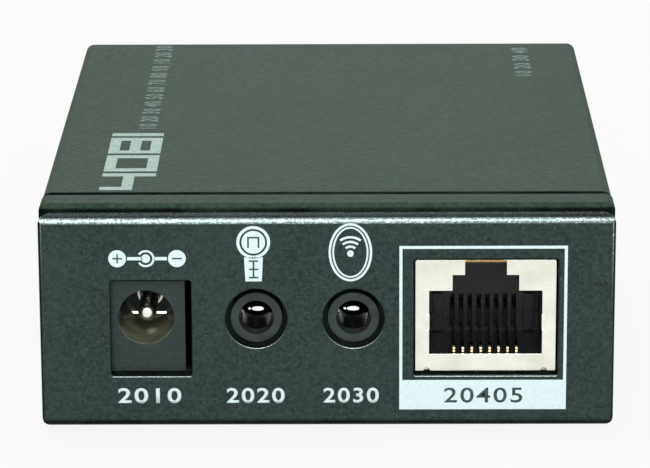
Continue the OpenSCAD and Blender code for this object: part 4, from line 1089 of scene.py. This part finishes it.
def soften(piece: bpy.types.Object, width: float, weld: bool = False) -> None:
    """Rounds the sharp edges of a piece with modifiers.

    Args:
        piece: The piece.
        width: Width of the rounding in millimetres.
        weld: Whether its loose triangles are joined to flat faces first.
    """
    if weld:
        join = piece.modifiers.new("join", "WELD")
        join.merge_threshold = WELD_MM * MM
        flat = piece.modifiers.new("flat", "DECIMATE")
        flat.decimate_type = "DISSOLVE"
        flat.angle_limit = FLAT_ANGLE
    edge = piece.modifiers.new("edge", "BEVEL")
    edge.width = width * MM
    edge.segments = EDGE_SEGMENTS
    edge.limit_method = "ANGLE"
    edge.angle_limit = SHARP_ANGLE
    edge.use_clamp_overlap = True
    edge.harden_normals = False
    even = piece.modifiers.new("even", "WEIGHTED_NORMAL")
    even.keep_sharp = False
    even.weight = NORMAL_WEIGHT


@dataclass
class FrameDress:
    """Finishes and edge roundings of the frame's own nodes, by material slot."""

    finishes: dict[str, tuple[Finish, float]] = field(default_factory=lambda: {
        "panel_coat": (Finishes.PANEL, 0.24),
        "cover_coat": (Finishes.COVER, 0.14),
        "steel": (Finishes.STEEL, 0.08),
        "rubber": (Finishes.RUBBER, 0.2),
        "board": (Finishes.BOARD, 0.08),
        "jack_plastic": (Finishes.JACK, 0.12),
        "black_plastic": (Finishes.BLACK, 0.07),
        "nickel": (Finishes.NICKEL, 0.05),
        "gold": (Finishes.GOLD, 0.04),
        "lamp_red": (Finishes.LAMP_RED, 0.08),
        "lamp_green": (Finishes.LAMP_GREEN, 0.08),
        "chip_black": (Finishes.CHIP, 0.1),
        "pad": (Finishes.PAD, 0.05),
        "fin_metal": (Finishes.FIN, 0.08),
        "can_metal": (Finishes.CAN, 0.15),
        "ferrite": (Finishes.FERRITE, 0.15),
        "ceramic": (Finishes.CERAMIC, 0.06),
        "resistor_film": (Finishes.FILM, 0.04),
    })
    own: dict[str, Finish] = field(default_factory=lambda: {
        "dc_jack_housing": Finishes.POWER_JACK,
        "left_jack_housing": Finishes.LEFT_JACK,
        "right_jack_housing": Finishes.RIGHT_JACK,
        "left_jack_sleeve": Finishes.DARK_SLEEVE,
        "right_jack_sleeve": Finishes.DARK_SLEEVE,
        "network_contacts": Finishes.WIRE,
    })

    def build(self) -> None:
        """Dresses every node with its own finish or that of its slot."""
        for part in frame["record"]["subparts"]:
            finish, width = self.finishes[part["material_slot"]]
            finish = self.own.get(part["node"], finish)
            node = frame["nodes"][part["node"]]
            node.data.materials.clear()
            node.data.materials.append(finish.material())
            soften(node, width, weld=True)
            LOG.info("node %s: finish %s, edges %.2f mm", node.name, finish.name, width)


@dataclass
class FrontPrints:
    """The pale screen prints on the front panel: signs, numbers and the socket's frame.

    Lengths in millimetres; shares are of the sign's own radius, or of the stroke for
    lines. Only the numbers that don't explain themselves are listed.

    Attributes:
        over: Thickness of the dark prints, as a share of the pale ones under them.
        sign_open: Half the angle of the polarity ring's arc, in degrees.
        sign_gap: Free space between a polarity disc and its line.
        sign_join: How far each line of the polarity sign reaches into the ring, and
            the share of the dot's radius up to which it reaches.
        mark: Shares of a polarity mark's arm and half line.
        eye: Shares of the eye's inner rim, its disc and the stem's upper end.
        pulse: Shares of the pulse's half width, half height and half line.
        rungs: Free space below the lowest and above the highest rung.
    """

    face: float = 40.0
    ink: float = 0.03
    over: float = 1.4
    sign_z: float = 21.58
    plus_x: float = -23.58
    ring_x: float = -20.37
    minus_x: float = -16.86
    sign_r: float = 1.0
    dot_r: float = 0.5
    stroke: float = 0.24
    sign_line: float = 0.8
    sign_open: float = 148
    sign_gap: float = 0.12
    sign_join: tuple[float, float] = (0.06, 0.8)
    mark: tuple[float, float] = (0.55, 0.36)
    receiver_x: float = -8.25
    receiver_z: float = 23.46
    receiver_r: float = 1.9
    eye: tuple[float, float, float] = (0.82, 0.7, 0.93)
    pulse: tuple[float, float, float] = (0.36, 0.34, 0.4)
    rungs: tuple[float, float] = (0.45, 0.3)
    stem_half: float = 0.92
    stem_taper: float = 1.16
    stem_low: float = 18.88
    rung_half: float = 0.52
    sender_x: float = 2.66
    sender_z: float = 22.26
    sender_r: float = 2.45
    sender_tall: float = 3.4
    sender_lines: tuple[tuple[float, float], ...] = ((0.0, 0.27), (0.42, 0.2))
    waves: tuple[tuple[float, float], ...] = ((0.95, 41), (1.5, 39), (2.05, 37))
    waves_z: float = 22.12
    wave_dot_r: float = 0.38
    wave_line: float = 0.27
    frame_left: float = 8.17
    frame_right: float = 27.09
    frame_low: float = 3.63
    frame_high: float = 22.99
    frame_line: float = 0.34
    band_high: float = 7.14
    number_z: float = 5.33
    number_h: float = 1.8
    number_bold: float = 0.05
    number_places: tuple[tuple[str, float, float], ...] = (
        ("2010", -20.2, 7.2), ("2020", -8.15, 6.6), ("2030", 2.7, 6.3))
    network_number: tuple[str, float, float] = ("20405", 17.7, 8.9)

    def _end(self, form: Form, name: str, dark: bool = False) -> None:
        """Thickens a drawing, lays it on the panel and ends it as a piece.

        Args:
            form: The drawing.
            name: Name of the piece.
            dark: Whether it is a dark print over a pale one.
        """
        form.thicken(self.ink * (self.over if dark else 1.0))
        form.place(Side.FRONT.turn(self.face - self.ink / 3))
        form.piece(name, Finishes.DARK_INK if dark else Finishes.INK)

    def polarity(self) -> None:
        """The centre-positive sign: two discs, an open ring round a dot, and their lines."""
        pale, dark = Form(), Form()
        for x, r in ((self.plus_x, self.sign_r), (self.minus_x, self.sign_r),
                     (self.ring_x, self.dot_r)):
            pale.disc(x, self.sign_z, r, r)
        pale.band(self.ring_x, self.sign_z, self.sign_r - self.stroke, self.sign_r,
                  -self.sign_open, self.sign_open)
        half, (reach, share) = self.stroke * self.sign_line, self.sign_join
        pale.tile(self.plus_x + self.sign_r + self.sign_gap, self.sign_z - half,
                  self.ring_x - self.dot_r * share, self.sign_z + half)
        pale.tile(self.ring_x + self.sign_r - reach, self.sign_z - half,
                  self.minus_x - self.sign_r - self.sign_gap, self.sign_z + half)
        arm, line = self.sign_r * self.mark[0], self.stroke * self.mark[1]
        for x in (self.plus_x, self.minus_x):
            dark.tile(x - arm, self.sign_z - line, x + arm, self.sign_z + line)
        for low, high in ((line, arm), (-arm, -line)):
            dark.tile(self.plus_x - line, self.sign_z + low, self.plus_x + line,
                      self.sign_z + high)
        self._end(pale, "print_polarity")
        self._end(dark, "print_polarity_marks", True)

    def receiver_sign(self) -> None:
        """A round eye on a tapered stem, with a pulse in the eye."""
        pale, dark = Form(), Form()
        r, x, z = self.receiver_r, self.receiver_x, self.receiver_z
        rim, disc, stem = self.eye
        pale.band(x, z, r * rim, r)
        pale.disc(x, z, r * disc, r * disc)
        for vert in pale.tile(x - self.stem_half, self.stem_low, x + self.stem_half,
                              z - r * stem):
            if vert.co.y > (self.stem_low + z - r) / 2:
                vert.co.x = x + (vert.co.x - x) * self.stem_taper
        w, h, line = r * self.pulse[0], r * self.pulse[1], self.stroke * self.pulse[2]
        dark.tile(x - w, z + h - 2 * line, x + w, z + h)
        for left in (x - w, x + w - 2 * line):
            dark.tile(left, z - h, left + 2 * line, z + h - 2 * line)
        low, high = self.stem_low + self.rungs[0], z - r - self.rungs[1]
        middle = (low + high) / 2
        for level in (low, middle, high):
            dark.tile(x - self.rung_half, level - line, x + self.rung_half, level + line)
        for first, last in ((low, middle), (middle, high)):
            dark.tile(x - line, first + line, x + line, last - line)
        self._end(pale, "print_receiver_sign")
        self._end(dark, "print_receiver_marks", True)

    def sender_sign(self) -> None:
        """A double oval round a dot that sends three waves upwards."""
        form = Form()
        for inset, line in self.sender_lines:
            form.oval(self.sender_x, self.sender_z, self.sender_r - inset,
                      self.sender_tall - inset, line)
        form.disc(self.sender_x, self.waves_z, self.wave_dot_r, self.wave_dot_r)
        for outer, spread in self.waves:
            form.band(self.sender_x, self.waves_z, outer - self.wave_line, outer,
                      90 - spread, 90 + spread)
        self._end(form, "print_sender_sign")

    def numbers(self) -> None:
        """Plain port numbers under the ports, dark on the band of the network socket."""
        pale, dark = Form(), Form()
        for words, x, width in self.number_places:
            pale.letters(words, x, self.number_z, self.number_h, width, self.number_bold)
        words, x, width = self.network_number
        dark.letters(words, x, self.number_z, self.number_h, width, self.number_bold / 2)
        self._end(pale, "print_port_numbers")
        self._end(dark, "print_network_number", True)

    def socket_frame(self) -> None:
        """The pale frame round the network socket with its solid band below."""
        form = Form()
        left, right, line = self.frame_left, self.frame_right, self.frame_line
        form.tile(left, self.frame_low, right, self.band_high)
        for side in (left, right - line):
            form.tile(side, self.band_high, side + line, self.frame_high - line)
        form.tile(left, self.frame_high - line, right, self.frame_high)
        self._end(form, "print_socket_frame")

    def build(self) -> None:
        """Builds all front prints."""
        self.polarity()
        self.receiver_sign()
        self.sender_sign()
        self.numbers()
        self.socket_frame()


@dataclass
class EdgeBeads:
    """The bead that the powder coat forms along the cut edges of the front panel."""

    face: float = 40.0
    radius: float = 0.16
    corner_r: float = 0.4
    cutouts: tuple[tuple[float, float, float, float], ...] = (
        (-24.6, 7.5, -15.2, 19.1), (9.67, 7.5, 26.23, 21.55))
    holes: tuple[tuple[float, float, float], ...] = ((-8.0, 14.45, 3.6), (3.0, 14.45, 3.6))

    @staticmethod
    def _arc(x: float, y: float, radius: float, angles: range) -> list[tuple[float, float]]:
        """Points round a middle at a radius, one for each angle in degrees."""
        return [(x + radius * math.cos(math.radians(angle)),
                 y + radius * math.sin(math.radians(angle))) for angle in angles]

    def _corners(self, left: float, low: float, right: float,
                 high: float) -> list[tuple[float, float]]:
        """The path round a cutout, with its corners rounded.

        Args:
            left: Left side.
            low: Lower side.
            right: Right side.
            high: Upper side.

        Returns:
            The points, against the clock.
        """
        r = self.corner_r
        middles = ((right - r, high - r, 0), (left + r, high - r, 90),
                   (left + r, low + r, 180), (right - r, low + r, 270))
        return [point for x, y, start in middles
                for point in self._arc(x, y, r, range(start, start + 91, 15))]

    def build(self) -> None:
        """Builds the beads of all openings as one piece."""
        form = Form()
        for cutout in self.cutouts:
            form.bead(self._corners(*cutout), self.radius)
        for x, z, hole_r in self.holes:
            form.bead(self._arc(x, z, hole_r, range(0, 360, 5)), self.radius)
        form.place(Side.FRONT.turn(self.face - self.radius))
        form.piece("panel_edge_beads", Finishes.PANEL, "panel_coat")


@dataclass
class TopPrints:
    """Plain numbers on the cover, where the real box carries its printed words."""

    top: float = 27.5
    ink: float = 0.03
    bold_number: str = "4081"
    bold_x: float = -22.9
    bold_y: float = -19.65
    bold_high: float = 6.2
    bold_wide: float = 25.6
    stroke: float = 1.3
    gap: float = 0.9
    fine_bold: float = 0.07
    fine_numbers: tuple[tuple[str, float, float, float, float], ...] = (
        ("10 20 30 40 50 60 70 80 90 10 20 30", -21.9, 17.2, 2.3, 43.5),
        ("10 20 30 40", 24.9, 29.7, 2.2, 15.4))

    def _blocks(self) -> Form:
        """The bold number in square strokes, read from the right side.

        Returns:
            The drawing.
        """
        form, line, high = Form(), self.stroke, self.bold_high
        ones = self.bold_number.count("1")
        slim = ones * line + (len(self.bold_number) - 1) * self.gap
        wide = (self.bold_wide - slim) / (len(self.bold_number) - ones)
        left = -self.bold_wide / 2
        for digit in self.bold_number:
            if digit == "1":
                form.tile(left, 0, left + line, high)
                left += line + self.gap
                continue
            right, centre = left + wide, (high - line) / 2
            form.tile(left, centre if digit == "4" else 0, left + line, high)
            form.tile(right - line, 0, right, high)
            levels = {"4": (centre,), "0": (0, high - line), "8": (0, centre, high - line)}[digit]
            for level in levels:
                form.tile(left + line, level, right - line, level + line)
            left = right + self.gap
        form.place(Matrix.Translation((self.bold_x + high / 2, self.bold_y, 0))
                   @ Matrix.Rotation(math.radians(90), 4, "Z"))
        return form

    def _end(self, form: Form, name: str, finish: Finish) -> None:
        """Thickens a drawing, lays it on the cover and ends it as a piece.

        Args:
            form: The drawing.
            name: Name of the piece.
            finish: Its ink.
        """
        form.thicken(self.ink)
        form.place(Side.TOP.turn(self.top - self.ink / 3))
        form.piece(name, finish)

    def build(self) -> None:
        """Builds the bold number and the two faint rows, all read from the right side."""
        self._end(self._blocks(), "print_top_number", Finishes.TOP_INK)
        fine = Form()
        for words, x, y, height, width in self.fine_numbers:
            fine.letters(words, x, y, height, width, self.fine_bold, 90)
        self._end(fine, "print_top_rows", Finishes.FAINT_INK)


@dataclass
class SocketTrim:
    """Small trim of the network socket: raw cut edge over the latch and side fingers.

    Attributes:
        edge_out: How far the raw edge stands out of the shield's face.
        edge_down: How far it stays below the shield's top.
        finger_in: How far a finger starts inside the opening.
        finger_y: Where a finger starts and ends behind the shield's face.
        finger_round: Rounding of a finger's edges.
    """

    x: float = 17.95
    face: float = -39.0
    base: float = 7.9
    notch_w: float = 4.7
    height: float = 13.15
    sheet: float = 0.25
    open_w: float = 12.8
    finger_low: float = 4.8
    finger_high: float = 6.7
    finger_w: float = 0.5
    edge_out: float = 0.02
    edge_down: float = 0.03
    finger_in: float = 0.05
    finger_y: tuple[float, float] = (0.12, 0.24)
    finger_round: float = 0.04

    def build(self) -> None:
        """Builds the raw edge and the two side fingers."""
        edge = Form()
        top, half = self.base + self.height, self.notch_w / 2
        edge.block((self.x - half, self.face - self.edge_out, top - self.sheet),
                   (self.x + half, self.face + self.edge_out, top - self.edge_down))
        edge.piece("network_raw_edge", Finishes.RAW_BRASS, "nickel")
        fingers = Form()
        front, back = (self.face + depth for depth in self.finger_y)
        for side in (-1, 1):
            inner = self.x + side * (self.open_w / 2 - self.finger_in)
            outer = inner + side * self.finger_w
            fingers.block((min(inner, outer), front, self.base + self.finger_low),
                          (max(inner, outer), back, self.base + self.finger_high))
        fingers.piece("network_side_fingers", Finishes.NICKEL, "nickel", self.finger_round)


@dataclass
class PowerJackTrim:
    """Bright metal at the pin's root in the power jack's bore: a ring and the seat."""

    x: float = -20.5
    z: float = 14.3
    face: float = -38.8
    root: float = 9.45
    root_r: float = 1.5
    line: float = 0.26
    tilt: float = math.radians(14.0)
    arcs: tuple[tuple[float, float], ...] = ((168, 232), (300, 350))
    bars: tuple[tuple[float, float], ...] = ((-2.3, -1.3), (0.5, 1.8))
    bar_z: float = -2.35
    sheet: float = 0.12

    def _end(self, form: Form, name: str) -> None:
        """Turns a drawing to the front, puts it at the pin's root and ends it as a piece.

        Args:
            form: The drawing.
            name: Name of the piece.
        """
        form.thicken(self.sheet)
        form.place(Matrix.Translation((self.x, 0, self.z))
                   @ Side.FRONT.turn(-self.face - self.root))
        form.piece(name, Finishes.NICKEL, "nickel")

    def build(self) -> None:
        """Builds the root ring's two lit arcs and the two seat edges."""
        root = Form()
        for first, last in self.arcs:
            root.band(0, 0, self.root_r - self.line, self.root_r, first, last)
        self._end(root, "power_pin_root")
        seat = Form()
        for left, right in self.bars:
            seat.tile(left, -self.line / 2, right, self.line / 2)
        seat.place(Matrix.Translation((0, self.bar_z, 0)) @ Matrix.Rotation(-self.tilt, 4, "X"))
        self._end(seat, "power_bore_seat")


@dataclass
class AudioJackTrim:
    """Bent-up ends of the contact leaves that glint deep in the two 3.5 mm bores."""

    axes: tuple[float, ...] = (-8.0, 3.0)
    z: float = 14.3
    face: float = -39.0
    depth: float = 8.0
    drop: float = 1.42
    ovals: tuple[tuple[float, float, float], ...] = ((-0.05, 0.7, 0.25), (-1.0, 0.16, 0.13))
    sheet: float = 0.12
    tilt: float = math.radians(14.0)

    def build(self) -> None:
        """Builds one leaf end in each bore, leaning back to face the light."""
        leaves = Form()
        for x in self.axes:
            for shift, half_w, half_h in self.ovals:
                leaves.disc(x + shift, 0, half_w, half_h, 32)
        leaves.thicken(self.sheet)
        level = Matrix.Translation((0, 0, self.z - self.drop)) @ Side.FRONT.turn(
            -self.face - self.depth)
        leaves.place(level @ Matrix.Rotation(-self.tilt, 4, "X"))
        leaves.piece("jack_leaf_ends", Finishes.STEEL, "nickel")


@dataclass
class Studio:
    """Floor, world, lamps and camera.

    Attributes:
        floor_half: Half the floor's side, in metres.
        floor_grey: Grey of the floor for the light that falls on the object.
        ambient: Strength of the soft light from all round.
        floor_glow: Share of pure white that the eye sees on the floor.
        sensor: Width of the camera's sensor, in millimetres.
        lens: Focal length, from the fitted one in pixels of the photograph.
        pitch: How far the camera looks down, in degrees.
        camera_at: Its place from the origin, in millimetres.
        roll: Its turn round its own axis, in radians.
        yaw: The object's turn on the floor as seen by it, in radians.
        origin: The point it is turned round, in millimetres.
        clip: Nearest and farthest distance it sees, in metres.
        lamps: Name, place, aim, diameter in metres and power of each lamp.
    """

    floor_half: float = 4.0
    floor_grey: float = 0.7
    ambient: float = 0.3
    floor_glow: float = 0.9
    sensor: float = 36.0
    lens: float = 3692.96 / PHOTO_WIDTH * sensor
    pitch: float = 16.162
    camera_at: tuple[float, float, float] = (-0.186, -398.018, 138.263)
    roll: float = -0.0045
    yaw: float = -0.0079
    origin: tuple[float, float, float] = (0.0, -40.0, 1.5)
    clip: tuple[float, float] = (0.02, 20.0)
    lamps: tuple[tuple[str, tuple, tuple, float, float], ...] = (
        ("key", (0.0, -0.775, 0.45), (0.0, -0.04, 0.02), 0.62, 5.6),
        ("overhead", (-0.1, 0.1, 0.7), (0.0, -0.02, 0.02), 0.3, 0.8),
        ("rear", (0.0, 0.3, 0.24), (0.0, 0.04, 0.02), 0.2, 0.3),
    )

    @staticmethod
    def _mix(graph: Graph, share: float, first: Node, second: Node, end: str) -> None:
        """Mixes two shaders and closes the tree with them.

        Args:
            graph: The graph of the floor's material or of the world.
            share: How much of the second is seen by camera, glossy and transmission rays.
            first: What lights the object.
            second: What those rays see.
            end: Blender's name of the output node.
        """
        path = graph.add("ShaderNodeLightPath")
        both = graph.maths("MAXIMUM", path.outputs["Is Camera Ray"], path.outputs["Is Glossy Ray"])
        seen = graph.maths("MAXIMUM", both, path.outputs["Is Transmission Ray"])
        mix = graph.add("ShaderNodeMixShader")
        for target, source in zip(mix.inputs, (graph.product(seen, share), first.outputs[0],
                                               second.outputs[0])):
            graph.link(source, target)
        graph.close(end, mix.outputs[0])

    def floor(self) -> None:
        """The pale floor that keeps the object's shadow."""
        mesh = bmesh.new()
        bmesh.ops.create_grid(mesh, x_segments=1, y_segments=1, size=self.floor_half)
        data = bpy.data.meshes.new("floor")
        mesh.to_mesh(data)
        mesh.free()
        made = bpy.data.materials.new("floor_white")
        graph = Graph.of(made)
        matt = graph.add("ShaderNodeBsdfDiffuse", in_Color=(*[self.floor_grey] * 3, 1.0))
        glow = graph.add("ShaderNodeEmission", in_Color=(1.0, 1.0, 1.0, 1.0), in_Strength=1.0)
        self._mix(graph, self.floor_glow, matt, glow, "ShaderNodeOutputMaterial")
        data.materials.append(made)
        floor = bpy.data.objects.new("floor", data)
        bpy.context.scene.collection.objects.link(floor)

    def world(self) -> None:
        """A white world for the eye and for reflections, and a soft ambient light."""
        world = bpy.data.worlds.new("studio")
        bpy.context.scene.world = world
        graph = Graph.of(world)
        soft = graph.add("ShaderNodeBackground", in_Color=(0.97, 1.0, 0.98, 1.0),
                         in_Strength=self.ambient)
        white = graph.add("ShaderNodeBackground", in_Color=(1.0, 1.0, 1.0, 1.0), in_Strength=1.0)
        self._mix(graph, 1.0, soft, white, "ShaderNodeOutputWorld")

    def light(self) -> None:
        """The soft lamps."""
        for name, place, target, size, power in self.lamps:
            data = bpy.data.lights.new(name, "AREA")
            data.shape = "DISK"
            data.size = size
            data.energy = power
            lamp = bpy.data.objects.new(name, data)
            lamp.location = place
            way = Vector(target) - Vector(place)
            lamp.rotation_euler = way.to_track_quat("-Z", "Y").to_euler()
            bpy.context.scene.collection.objects.link(lamp)

    def camera(self) -> None:
        """The camera at the photograph's viewing angle."""
        data = bpy.data.cameras.new("camera")
        data.sensor_width = self.sensor
        data.lens = self.lens
        data.clip_start, data.clip_end = self.clip
        camera = bpy.data.objects.new("camera", data)
        bpy.context.scene.collection.objects.link(camera)
        turn = Matrix.Rotation(-self.yaw, 4, "Z")
        place = (turn @ Vector(self.camera_at) + Vector(self.origin)) * MM
        look = turn @ Matrix.Rotation(math.radians(90 - self.pitch), 4, "X")
        camera.matrix_world = (Matrix.Translation(place) @ look
                               @ Matrix.Rotation(self.roll, 4, "Z"))
        bpy.context.scene.camera = camera

    def build(self) -> None:
        """Builds the studio."""
        bpy.context.scene.view_settings.view_transform = "Standard"
        self.floor()
        self.world()
        self.light()
        self.camera()


def main() -> None:
    """Builds the sub-assemblies in order."""
    logging.basicConfig(level=logging.INFO, format="%(message)s")
    for part in (FrameDress(), EdgeBeads(), FrontPrints(), TopPrints(), SocketTrim(),
                 PowerJackTrim(), AudioJackTrim(), Studio()):
        LOG.info("building %s", type(part).__name__)
        part.build()


if __name__ == "__main__":
    main()
